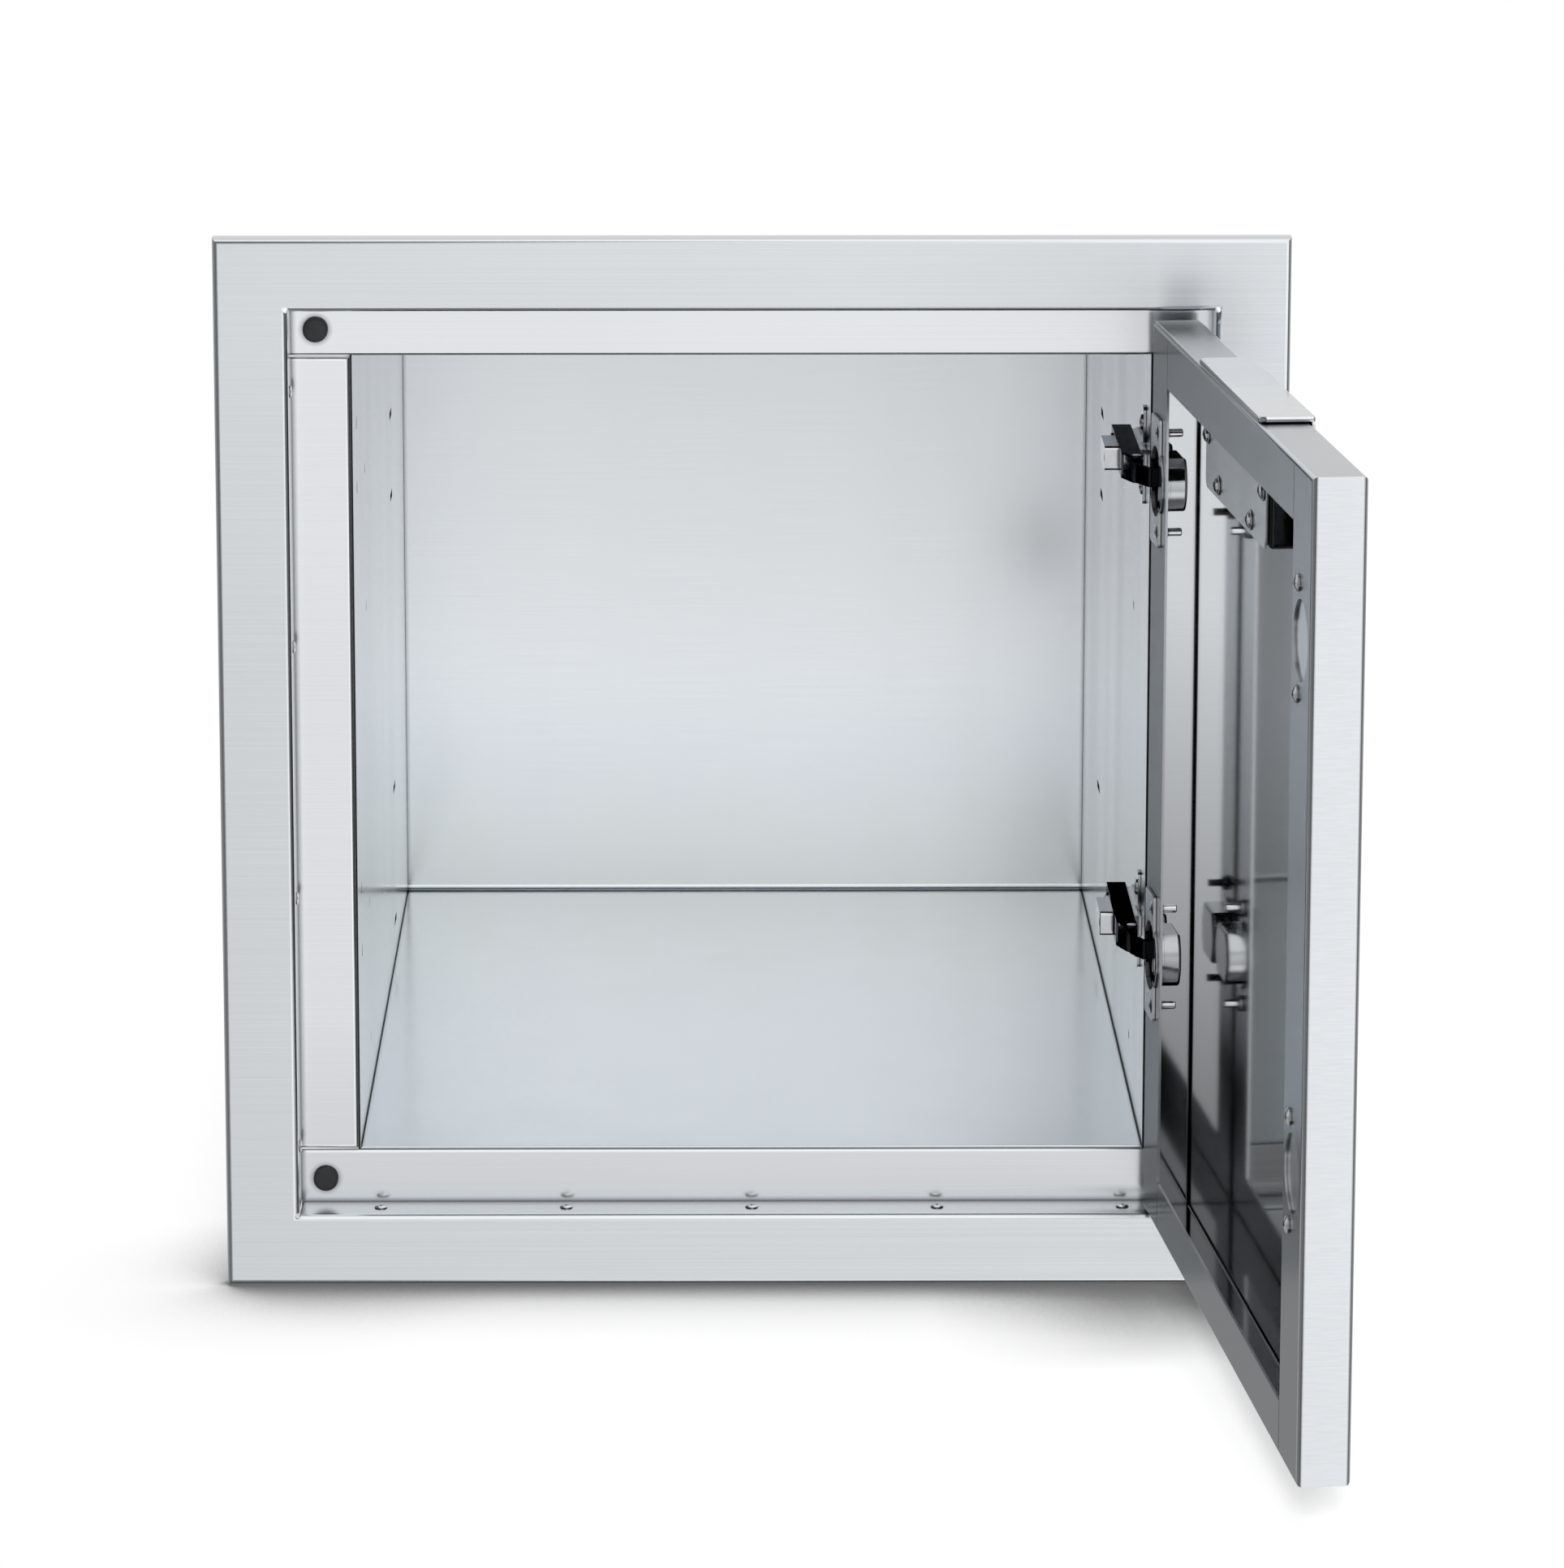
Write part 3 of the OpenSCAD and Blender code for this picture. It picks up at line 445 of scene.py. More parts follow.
def with_painted_light(colour, fade):
    """A colour times a factor that changes along an axis: painted light and shade, lighter where a
    surface should look more lit and darker where it should look shaded.

    Its second argument gives the axis, two places on it in metres, and the factor at each of them.
    """
    if not fade:
        return colour
    axis, start, end, low, high = fade
    axes = node(colour.id_data, "SeparateXYZ")
    link(pattern(colour.id_data, 0.0, (1, 1, 1)), axes.inputs[0])
    return darken(colour, spread(axes.outputs[axis], low, high, start, end))


def dress(shader, colour, roughness, relief):
    """Joins a colour, a roughness and a relief to a shader."""
    link(colour, shader.inputs["Base Color"])
    link(roughness, shader.inputs["Roughness"])
    link(relief, shader.inputs["Normal"])


def brushed_steel(name, colour, roughness, turn=0.0, contrast=0.045, fade=None, grazing=1.0):
    """Satin steel whose grain runs along X, turned by turn about Z."""
    material, tree, shader = new_metal(name, grazing)
    fine = noise(tree, (12, 3000, 3000), 2.0, turn)
    streaks = noise(tree, (3.5, 1300, 1300), 3.0, turn)
    clouds = noise(tree, (5, 9, 9), 2.0, turn)
    waves = noise(tree, (4, 5, 5), 0.0, turn)
    mixed = reckon("ADD", spread(streaks, 0.0, 0.62), spread(clouds, 0.0, 0.38))
    worn = tint(mixed, shade(colour, 1 - contrast), shade(colour, 1 + contrast))
    scratch = bump(fine, 0.000003, 0.3)
    # The colour carries painted shade in corners and joints, and painted light and shade along an
    # axis where one is given
    dress(
        shader,
        darken(with_painted_light(worn, fade), painted_crevice_shade(tree, 0.003, 0.2)),
        spread(streaks, roughness * 0.95, roughness * 1.05),
        bump(waves, 0.00010, 0.6, scratch),
    )
    return material


def plain_steel(name, colour, roughness, wave=0.00010, fade=None):
    """Rolled sheet: smooth and slightly uneven, with faint upright bands."""
    material, tree, shader = new_metal(name)
    bands = noise(tree, (22, 22, 1.6), 2.0)
    grain = noise(tree, (14, 14, 900), 2.0)
    waves = noise(tree, (4, 4, 3), 0.0)
    mixed = reckon("ADD", spread(bands, 0.0, 0.6), spread(grain, 0.0, 0.4))
    worn = tint(mixed, shade(colour, 0.97), shade(colour, 1.02))
    # The colour carries painted shade in corners and joints, and painted light and shade along an
    # axis where one is given
    dress(
        shader,
        darken(with_painted_light(worn, fade), painted_crevice_shade(tree, 0.0025, 0.4)),
        spread(bands, roughness * 0.9, roughness * 1.1),
        bump(waves, wave, 0.6),
    )
    return material


def plated_metal(name, colour, roughness, mottle=0.06, reach=0.0014, darkest=0.2, grazing=1.0):
    """Plated or cast metal with a soft, slightly cloudy gloss, and painted shade darkening its
    crevices.
    """
    material, tree, shader = new_metal(name, grazing)
    clouds = noise(tree, (160, 160, 160), 3.0)
    dents = noise(tree, (420, 420, 420), 2.0)
    even = spread(clouds, 0, 1)
    worn = tint(even, shade(colour, 1 - mottle), shade(colour, 1 + mottle))
    # The colour carries painted shade in corners and joints
    dress(
        shader,
        darken(worn, painted_crevice_shade(tree, reach, darkest)),
        spread(clouds, roughness * 0.8, roughness * 1.3),
        bump(dents, 0.00003, 0.3),
    )
    return material


def rubber(name, colour, roughness):
    """Matt moulded rubber with a fine pebbled skin."""
    material, tree, shader = new_material(name)
    shader.inputs["Specular IOR Level"].default_value = 0.4
    pebbles = noise(tree, (1600, 1600, 1600), 3.0)
    wear = noise(tree, (180, 180, 180), 2.0)
    even = spread(wear, 0, 1)
    dress(
        shader,
        tint(even, shade(colour, 0.8), shade(colour, 1.35)),
        spread(wear, roughness - 0.1, roughness + 0.1),
        bump(pebbles, 0.00008, 0.5),
    )
    return material


# Painted light and shade: the door's top darker towards its hinge end, the stops darker towards
# the bottom, and the door's inside darker towards the bottom, standing in for darker reflections
# there
TOP_PAINTED_SHADE = ("Y", -0.15, -0.03, 0.8, 0.4)
STOP_PAINTED_SHADE = ("Z", 0.03, 0.13, 0.86, 1.0)
PAN_PAINTED_SHADE = ("Z", 0.08, 0.34, 0.45, 1.0)
# POLISH, like the cup plate's and the screws' settings below, sets how far and how dark the
# painted crevice shade reaches
POLISH = {"mottle": 0.02, "reach": 0.0024, "darkest": 0.1}

# Each finish: its maker, the settings of its colour and roughness, and what else the maker is told
FINISHES = {
    "frame_face": (brushed_steel, "face", "face", {}),
    "door_face": (brushed_steel, "door", "face", {"turn": -DOOR_TURN}),
    "door_flange": (brushed_steel, "flange", "face", {"turn": -DOOR_TURN, "grazing": 0.72}),
    "door_top": (brushed_steel, "door", "face", {"turn": -DOOR_TURN, "fade": TOP_PAINTED_SHADE}),
    "stop_face": (brushed_steel, "stop", "stop", {"contrast": 0.03, "fade": STOP_PAINTED_SHADE}),
    # Painted light on the rolled sheet: the back and sides lighter low down and darker higher up,
    # the floor lighter at the front and darker towards the back
    "box_sheet": (plain_steel, "box", "box", {"fade": ("Z", 0.10, 0.44, 1.16, 0.82)}),
    "side_sheet": (plain_steel, "side", "box", {"fade": ("Z", 0.12, 0.42, 1.13, 0.94)}),
    "floor_sheet": (plain_steel, "floor", "box", {"fade": ("Y", 0.06, 0.56, 1.16, 0.80)}),
    "door_sheet": (plain_steel, "door_plate", "box", {}),
    "door_inside": (plain_steel, "inside", "inside", {"wave": 0.00006, "fade": PAN_PAINTED_SHADE}),
    # The hole walls are painted dark: painted shade standing in for the dark inside the holes
    "hole_wall_painted_shade": (plain_steel, "cut", "cut", {}),
    # The casting's ends are painted dark: a painted reflection of the dark inside of the door
    "casting_end_painted_shade": (plated_metal, "pocket", "polished", {}),
    # The hinge arms and links are painted dark, standing in for the dark surroundings they reflect
    "hinge_arm": (plated_metal, "arm", "plated", {"grazing": 0.2}),
    "polished": (plated_metal, "polished", "polished", POLISH),
    "plated": (plated_metal, "plated", "plated", {}),
    "link_painted_shade": (plated_metal, "link", "link", {"grazing": 0.25}),
    "cup_plate": (plated_metal, "polished", "cup", {"reach": 0.0006, "darkest": 0.1}),
    "screw_metal": (plated_metal, "screw", "screw", {"reach": 0.002, "darkest": 0.08}),
    "rubber": (rubber, "rubber", "rubber", {}),
}
MATERIALS = {}


def finish(name):
    """One of the cabinet's finishes, made once."""
    if name not in MATERIALS:
        maker, tone, gloss, more = FINISHES[name]
        steel = bpy.context.scene.cabinet_steel
        colour = getattr(steel, tone + "_colour")
        roughness = getattr(steel, gloss + "_roughness")
        MATERIALS[name] = maker(name, colour, roughness, **more)
    return MATERIALS[name]


# Settings


def colour(name, value, about):
    """A colour that a user can change."""
    return FloatVectorProperty(
        name=name, description=about, subtype="COLOR", size=3, min=0, max=1, default=value
    )


def share(name, value, about):
    """A number from 0 to 1 that a user can change."""
    return FloatProperty(
        name=name, description=about, subtype="FACTOR", min=0, max=1, default=value
    )


def length(name, value, about):
    """A length that a user can change."""
    return FloatProperty(
        name=name, description=about, unit="LENGTH", precision=5, min=0.0001, default=value
    )


class CabinetSteel(PropertyGroup):
    """Colours and gloss of the metal and rubber."""

    face_colour: colour("Face", (0.905, 0.92, 0.935), "Brushed face frame")
    door_colour: colour("Door", (0.885, 0.90, 0.915), "Brushed door")
    flange_colour: colour("Door flanges", (0.80, 0.815, 0.83), "Flanges on the door's inner side")
    stop_colour: colour("Stops", (0.945, 0.955, 0.965), "Stops and posts in the recess")
    box_colour: colour("Back", (0.92, 0.935, 0.95), "Rolled sheet of the back and roof")
    side_colour: colour("Sides", (0.90, 0.915, 0.93), "Rolled sheet of the two sides")
    floor_colour: colour("Floor", (0.89, 0.905, 0.915), "Rolled sheet of the floor")
    door_plate_colour: colour("Door plates", (0.84, 0.85, 0.86), "Plates in the door")
    inside_colour: colour("Door inside", (0.91, 0.92, 0.93), "Mill finish inside the door")
    # Painted shade: the handle's ends are made dark to stand in for the dark they reflect
    pocket_colour: colour("Handle's ends", (0.24, 0.245, 0.25), "Ends of the handle's casting")
    # Painted shade: the hole walls are made dark to stand in for the shade in the holes
    cut_colour: colour("Cut edges", (0.20, 0.205, 0.21), "Walls of the holes in the sides")
    # Painted shade: the arms are made dark to stand in for the dark they reflect
    arm_colour: colour("Hinge arms", (0.26, 0.27, 0.29), "Hinge arms")
    polished_colour: colour("Handle", (0.94, 0.945, 0.95), "Polished handle")
    plated_colour: colour("Hinges", (0.80, 0.81, 0.82), "Plated hinge parts")
    # Painted shade: the links are made dark to stand in for the dark they reflect
    link_colour: colour("Links", (0.20, 0.21, 0.23), "Darker hinge links")
    screw_colour: colour("Screws", (0.90, 0.905, 0.91), "Screws, nuts and washers")
    rubber_colour: colour("Rubber", (0.13, 0.135, 0.14), "Door bumpers")
    face_roughness: share("Face roughness", 0.21, "Roughness of the brushed faces")
    stop_roughness: share("Stop roughness", 0.17, "Roughness of the stops and posts")
    box_roughness: share("Box roughness", 0.18, "Roughness of the rolled sheet")
    inside_roughness: share("Door inside roughness", 0.06, "Roughness inside the door")
    cut_roughness: share("Cut edge roughness", 0.5, "Roughness of the walls of the holes")
    polished_roughness: share("Handle roughness", 0.06, "Roughness of the handle")
    plated_roughness: share("Hinge roughness", 0.10, "Roughness of the hinge parts")
    link_roughness: share("Link roughness", 0.13, "Roughness of the hinge links")
    cup_roughness: share("Cup plate roughness", 0.3, "Roughness of the cups' screw plates")
    screw_roughness: share("Screw roughness", 0.07, "Roughness of screws, nuts and washers")
    rubber_roughness: share("Rubber roughness", 0.6, "Roughness of the door bumpers")


class CabinetSizes(PropertyGroup):
    """Small sizes of the sheet metal and the handle."""

    edge_round: length("Eased edges", 0.00022, "Rounding of the cut edges of the sheet")
    notch: length("Corner notches", 0.0014, "Radius of the relief holes in the corners")
    foot: length("Back's bend", 0.003, "Radius of the back's hollow bend at the floor")
    plate_round: length("Handle's edge", 0.00135, "Rounding of the handle's top plate")


class CabinetStage(PropertyGroup):
    """Floor, light and camera."""

    shadow_reach: length("Shadow reach", 0.12, "Reach of the contact shadow over the floor")
    own_light: share("Floor's own light", 0.58, "How bright the floor is in the door's shadow")
    key_power: FloatProperty(name="Key lamp", description="Power in watts", min=0, default=135)
    front_tone: share("Front tone", 0.88, "What the steel reflects from the camera's side")
    dark_tone: share("Dark tone", 0.13, "What the steel reflects from straight left and right")
    flag_tone: share("Flag tone", 0.11, "What the door's inner side reflects")
    lens: FloatProperty(name="Lens", description="Focal length", unit="CAMERA", default=157.45)


# Pieces


def in_door(point):
    """A point's u, t and height in the door's own directions, in millimetres."""
    return tuple(v / MM for v in TO_DOOR @ point)


def door_place(u, t, z, axis=(0, -1, 0)):
    """A place in the open door, from millimetres in the door's own directions."""
    return DOOR @ facing((u * MM, t * MM, z * MM), axis)


def door_span(name, u, t, z):
    """A box in the door's own directions, from three spans in millimetres."""
    low, high = (tuple(v * MM for v in corner) for corner in zip(u, t, z))
    return add_box(name, low, high)


def rounded_span(name, u, t, z, radius, segments, axis=(0, 1, 0), test=lambda m: True):
    """A box in the door's own directions with its edges along an axis rounded."""
    piece = door_span(name, u, t, z)
    pick_edges_along(piece, axis, test)
    bevel(radius * MM, segments)
    return piece


def push(distance):
    """Extrudes what is selected along Z."""
    bpy.ops.mesh.extrude_region_move(TRANSFORM_OT_translate={"value": (0, 0, distance)})


def narrow(factor, height):
    """Scales what is selected about the Z axis, at a height."""
    bpy.ops.transform.resize(value=(factor, factor, 1), center_override=(0, 0, height))


def dome(radius, rise, base, steps=5):
    """Raises the selected round face, a disc of that radius at height base, to a low dome."""
    ball = (radius**2 + rise**2) / (2 * rise)
    last = radius
    height = base
    for i in range(1, steps + 1):
        level = base + rise * math.sin(math.pi / 2 * i / (steps + 0.4))
        across = math.sqrt(max(ball**2 - (ball - rise + level - base) ** 2, 1e-12))
        push(level - height)
        narrow(across / last, level)
        last = across
        height = level


def make_screw(name, head_d, head_h, shank_d, shank_l):
    """A pan-head screw along Z, its head's seat at Z = 0, with a cross recess."""
    head_d, head_h, shank_d, shank_l = (v * MM for v in (head_d, head_h, shank_d, shank_l))
    rim = head_h * 0.45
    screw = add_cylinder(name, head_d / 2, rim, (0, 0, rim / 2), "Z", 40)
    pick_faces(screw, (0, 0, -1))
    bpy.ops.mesh.inset(thickness=(head_d - shank_d) / 2)
    push(-shank_l)
    bpy.ops.mesh.inset(thickness=shank_d * 0.12)
    bpy.ops.transform.translate(value=(0, 0, -shank_d * 0.12))
    pick_faces(screw, (0, 0, 1), rim)
    dome(head_d / 2, head_h - rim, rim)
    low = head_h * 0.35
    for shares in ((1, 0.22), (0.22, 1)):
        across, along = (head_d * 0.29 * v for v in shares)
        slot = add_box("slot", (-across, -along, low), (across, along, head_h * 2))
        pick_faces(slot, (0, 0, -1))
        narrow(0.72, low)
        cut_away(screw, slot)
    return screw


def make_rivet_nut(name):
    """A rivet nut's sleeve, along -Z from a sheet's face, with the bulge behind the sheet."""
    width, long, collar, shank = 6.2 * MM, 11.5 * MM, 2.45 * MM, 4.1 * MM
    sleeve = add_cylinder(name, width / 2, long, (0, 0, -long / 2), "Z", 40)
    pick_faces(sleeve, (0, 0, -1), long)
    bpy.ops.mesh.inset(thickness=(width - shank) / 2)
    push(3 * MM)
    ring = add_cylinder("ring", width / 2 + 0.8 * MM, 2.5 * MM, (0, 0, -collar), "Z", 40)
    bpy.ops.mesh.select_all(action="SELECT")
    bevel(0.7 * MM, 3)
    weld_on(sleeve, ring)
    round_edges(sleeve, 0.25 * MM, 2)
    return sleeve


def make_pin(name, width, long, head=0):
    """A short pin along Z, with a low rivet head on its far end or with eased ends."""
    width, long, head = (v * MM for v in (width, long, head))
    pin = add_cylinder(name, width / 2, long, (0, 0, long / 2), "Z", 32)
    if head:
        brim = width / 2 + 0.8 * MM
        cap = add_cylinder("cap", brim, head * 0.6, (0, 0, long + head * 0.3), "Z", 32)
        pick_faces(cap, (0, 0, 1))
        dome(brim, head * 0.4, long + head * 0.6, 3)
        weld_on(pin, cap)
    else:
        round_edges(pin, 0.2 * MM, 2)
    return pin


def spread_copies(
    made, name, places, body, material="screw_metal", keep=False
):
    """Finishes one copy of a made shape at each place; their node has the name with an s."""
    for count, place in enumerate(places, 1):
        piece = copy_at(made, f"{name}_{count}", place)
        finish_piece(piece, body, material, name + "s")
    if not keep:
        bpy.data.objects.remove(made)


class CABINET_OT_face_frame(Operator):
    """Finishes the folded face frame, with every cut edge eased"""

    bl_idname = "cabinet.face_frame"
    bl_label = "Face frame"

    def execute(self, context):
        sizes = context.scene.cabinet_sizes
        piece = merged_copy("face_frame")
        out = sizes.notch / 2
        for side in (-1, 1):
            for height in (OPEN_LOW - out, OPEN_HIGH + out):
                spot = (side * (OPEN_X + out), FACE_Y + 3 * MM, height)
                cut_away(piece, add_cylinder("notch", sizes.notch, 8 * MM, spot, "Y", 24))
        round_edges(piece, sizes.edge_round, 2)
        finish_piece(piece, "cabinet", "frame_face", "face_frame")
        return {"FINISHED"}


class CABINET_OT_stops(Operator):
    """Finishes the two stops and the two posts that the door closes against"""

    bl_idname = "cabinet.stops"
    bl_label = "Stops and posts"

    def execute(self, context):
        for name in ("top_stop", "bottom_stop", "left_post", "right_post"):
            piece = merged_copy(name)
            round_edges(piece, context.scene.cabinet_sizes.edge_round, 2)
            # The stops' finish is painted darker towards the bottom, a painted shade
            finish_piece(piece, "cabinet", "stop_face", name)
        return {"FINISHED"}


class CABINET_OT_box(Operator):
    """Finishes the five sheets of the box, with their bends and the rims of their holes"""

    bl_idname = "cabinet.box"
    bl_label = "Box"

    def execute(self, context):
        for name, look, ease in (
            ("floor_panel", "floor_sheet", 0.25),
            ("back_panel", "box_sheet", 0.1),
            ("roof_panel", "box_sheet", 0.25),
            ("left_side_panel", "side_sheet", 0.25),
            ("right_side_panel", "side_sheet", 0.25),
        ):
            piece = merged_copy(name)
            if name == "floor_panel":
                self.bend_sides(piece)
            round_edges(piece, ease * MM, 2)
            if name == "back_panel":
                self.add_foot(piece, context.scene.cabinet_sizes.foot)
            # The sheets' finishes carry painted light: lighter low down and towards the front
            finish_piece(piece, "cabinet", look, name)
            if look == "side_sheet":
                # The hole walls are painted dark, a painted shade for the dark inside the holes
                paint(piece, "hole_wall_painted_shade", self.is_hole_wall)
        return {"FINISHED"}

    def bend_sides(self, floor):
        """Rounds the floor's upper edges along its two sides."""
        bpy.ops.object.mode_set(mode="EDIT")
        pick_edges_along(floor, (0, 1, 0), lambda m: m.z > 0.0632 and abs(m.x) > 0.192)
        bevel(1 * MM, 4)

    def add_foot(self, back, bend):
        """Gives the back its hollow bend at the floor."""
        floor_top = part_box("floor_panel")[1][2]
        low = (-INSIDE_X, BACK_Y - bend, floor_top)
        high = (INSIDE_X, BACK_Y + 0.3 * MM, floor_top + bend)
        foot = add_box("foot", low, high)
        bar = add_cylinder("bar", bend, 1.0, (0, BACK_Y - bend, floor_top + bend), "X", 64)
        cut_away(foot, bar)
        weld_on(back, foot)

    def is_hole_wall(self, middle, normal):
        return abs(normal.x) < 0.6 and 0.1929 < abs(middle.x) < 0.1936


class CABINET_OT_frame_screws(Operator):
    """Makes the low-headed screws in the recess"""

    bl_idname = "cabinet.frame_screws"
    bl_label = "Frame screws"

    def execute(self, context):
        made = make_screw("frame_screw", 6.0, 1.2, 3.0, 8.0)
        heights = [WALL_SCREW_LOW + i * WALL_SCREW_STEP for i in range(4)]
        walls = [
            facing((side * OPEN_X, RECESS_SCREW_Y, z), (-side, 0, 0))
            for side in (-1, 1)
            for z in heights
        ]
        ledges = [
            facing(((i - 2) * LEDGE_SCREW_STEP, RECESS_SCREW_Y, z), (0, 0, up))
            for z, up in ((OPEN_LOW, 1), (OPEN_HIGH, -1))
            for i in range(5)
        ]
        spread_copies(made, "side_wall_screw", walls, "cabinet", keep=True)
        spread_copies(made, "ledge_screw", ledges, "cabinet")
        return {"FINISHED"}


class CABINET_OT_bumpers(Operator):
    """Makes the two moulded rubber bumpers"""

    bl_idname = "cabinet.bumpers"
    bl_label = "Bumpers"

    def execute(self, context):
        radius = 6 * MM
        made = add_cylinder("bumper", radius, 2.2 * MM, (0, 0, 1.1 * MM), "Z", 64)
        pick_faces(made, (0, 0, 1))
        push(0.75 * MM)
        narrow(0.87, 0)
        dome(radius * 0.87, 0.45 * MM, 2.95 * MM, 6)
        places = [facing((BUMPER_X, STOP_Y, z), (0, -1, 0)) for z in BUMPER_HEIGHTS]
        spread_copies(made, "door_bumper", places, "cabinet", "rubber")
        return {"FINISHED"}


class CABINET_OT_door(Operator):
    """Finishes the folded door pan, with its seams and hinge holes"""

    bl_idname = "cabinet.door"
    bl_label = "Door"

    def execute(self, context):
        piece = merged_copy("door_pan")
        round_edges(piece, context.scene.cabinet_sizes.edge_round, 2)
        finish_piece(piece, "door", "door_face", "door_pan")
        # The inside and the top take finishes with painted shade: the inside darker towards the
        # bottom, the top darker towards the hinge end
        paint(piece, "door_inside", self.is_inside)
        paint(piece, "door_flange", self.is_flange)
        paint(piece, "door_top", self.is_top)
        return {"FINISHED"}

    def is_inside(self, middle, normal):
        u, t, z = in_door(middle)
        low, high = 1.1, DOOR_SIZE - 1.1
        return low < u < high and low < z < high and 1.25 < t < 22.7

    def is_flange(self, middle, normal):
        return in_door(middle)[1] < 0.1 and normal.x < -0.9

    def is_top(self, middle, normal):
        return in_door(middle)[2] > DOOR_SIZE - 0.1 and normal.z > 0.9


class CABINET_OT_handle(Operator):
    """Makes the polished casting in the door's top edge and its back plate"""

    bl_idname = "cabinet.handle"
    bl_label = "Handle"

    def execute(self, context):
        body = door_span("handle_casting", (137.2, 302.8), (5.2, 23.7), (383.7, 441.65))
        round_edges(body, 2.6 * MM, 6, 60)
        plate = self.top_plate(context.scene.cabinet_sizes.plate_round)
        face = rounded_span("face", (136.1, 303.9), (23.6, 25.1), (382.5, 441.2), 1.6, 4)
        weld_on(body, face)
        weld_on(body, plate)
        cut_away(body, rounded_span("hollow", (143, 297), (7.2, 21.7), (387, 437), 6, 6))
        cut_away(body, rounded_span("pocket", (146, 294), (20, 27), (388, 426), 8, 8))
        round_edges(body, 0.45 * MM, 3)
        for u, deep in (((303.4, 306), 24.2), ((134, 136.6), 24.2), ((134, 306), 0.6)):
            cut_away(body, door_span("groove", u, (-1, deep), (441.4, 441.8)))
        finish_in_door(body, "polished", "handle_body")
        # The casting's ends get a dark finish, a painted reflection of the dark inside of the door
        paint(body, "casting_end_painted_shade", self.is_painted_dark_end)

        sheet = ((138, 302), (3.95, 5.15), (383.7, 437.8))
        back = rounded_span("handle_back_sheet", *sheet, 5, 6)
        for u, z in HANDLE_SCREWS:
            spot = (u * MM, 4.5 * MM, z * MM)
            cut_away(back, add_cylinder("hole", 1.9 * MM, 0.01, spot, "Y", 32))
        round_edges(back, 0.25 * MM, 2)
        finish_in_door(back, "door_sheet", "handle_back_plate")
        return {"FINISHED"}

    def top_plate(self, edge):
        """The casting's top plate, with round corners towards the door's inner side."""
        upright = (0, 0, 1)
        spans = ((136, 304), (0, 25.2), (440, 443.3))
        plate = rounded_span("plate", *spans, 4.5, 8, upright, lambda m: m.y < 1 * MM)
        pick_edges_along(plate, upright, lambda m: m.y > 25 * MM)
        bevel(1.4 * MM, 4)
        round_edges(plate, edge, 5, 60)
        return plate

    def is_painted_dark_end(self, middle, normal):
        u, t, z = in_door(middle)
        return abs(u - HANDLE_MIDDLE) > 81.5 and t < 22 and z < 436


class CABINET_OT_handle_screws(Operator):
    """Makes the four screws and washers that hold the handle"""

    bl_idname = "cabinet.handle_screws"
    bl_label = "Handle screws"

    def execute(self, context):
        made = make_screw("handle_screw", 7.0, 2.0, 3.4, 5.9)
        places = [door_place(u, 3.15, z) for u, z in HANDLE_SCREWS]
        spread_copies(made, "handle_screw", places, "door")
        washer = add_cylinder("handle_washer", 4.5 * MM, 0.8 * MM, (0, 0, 0.4 * MM), "Z", 48)
        cut_away(washer, add_cylinder("bore", 1.8 * MM, 4 * MM, (0, 0, 0), "Z", 32))
        round_edges(washer, 0.22 * MM, 3)
        places = [door_place(u, 3.95, z) for u, z in HANDLE_SCREWS]
        spread_copies(washer, "handle_washer", places, "door")
        return {"FINISHED"}


class CABINET_OT_hole_covers(Operator):
    """Makes the plates behind the spare hinge holes, and their screws"""

    bl_idname = "cabinet.hole_covers"
    bl_label = "Hole covers"

    def execute(self, context):
        for count, height in enumerate(DOOR_HINGES, 1):
            span = (height - 30, height + 30)
            cover = rounded_span(f"hole_cover_{count}", (396, 436), (1.2, 2.4), span, 2, 4)
            for rise in HOLE_SCREW_RISES:
                spot = (COVER_SCREW_U * MM, 1.8 * MM, (height + rise) * MM)
                cut_away(cover, add_cylinder("hole", 2.05 * MM, 0.01, spot, "Y", 32))
            round_edges(cover, 0.2 * MM, 2)
            finish_in_door(cover, "door_sheet", "hole_covers")
        made = make_screw("cover_screw", 7.6, 2.4, 4.0, 7.4)
        places = [
            door_place(COVER_SCREW_U, 0, height + rise)
            for height in DOOR_HINGES
            for rise in HOLE_SCREW_RISES
        ]
        spread_copies(made, "hole_cover_screw", places, "door")
        return {"FINISHED"}


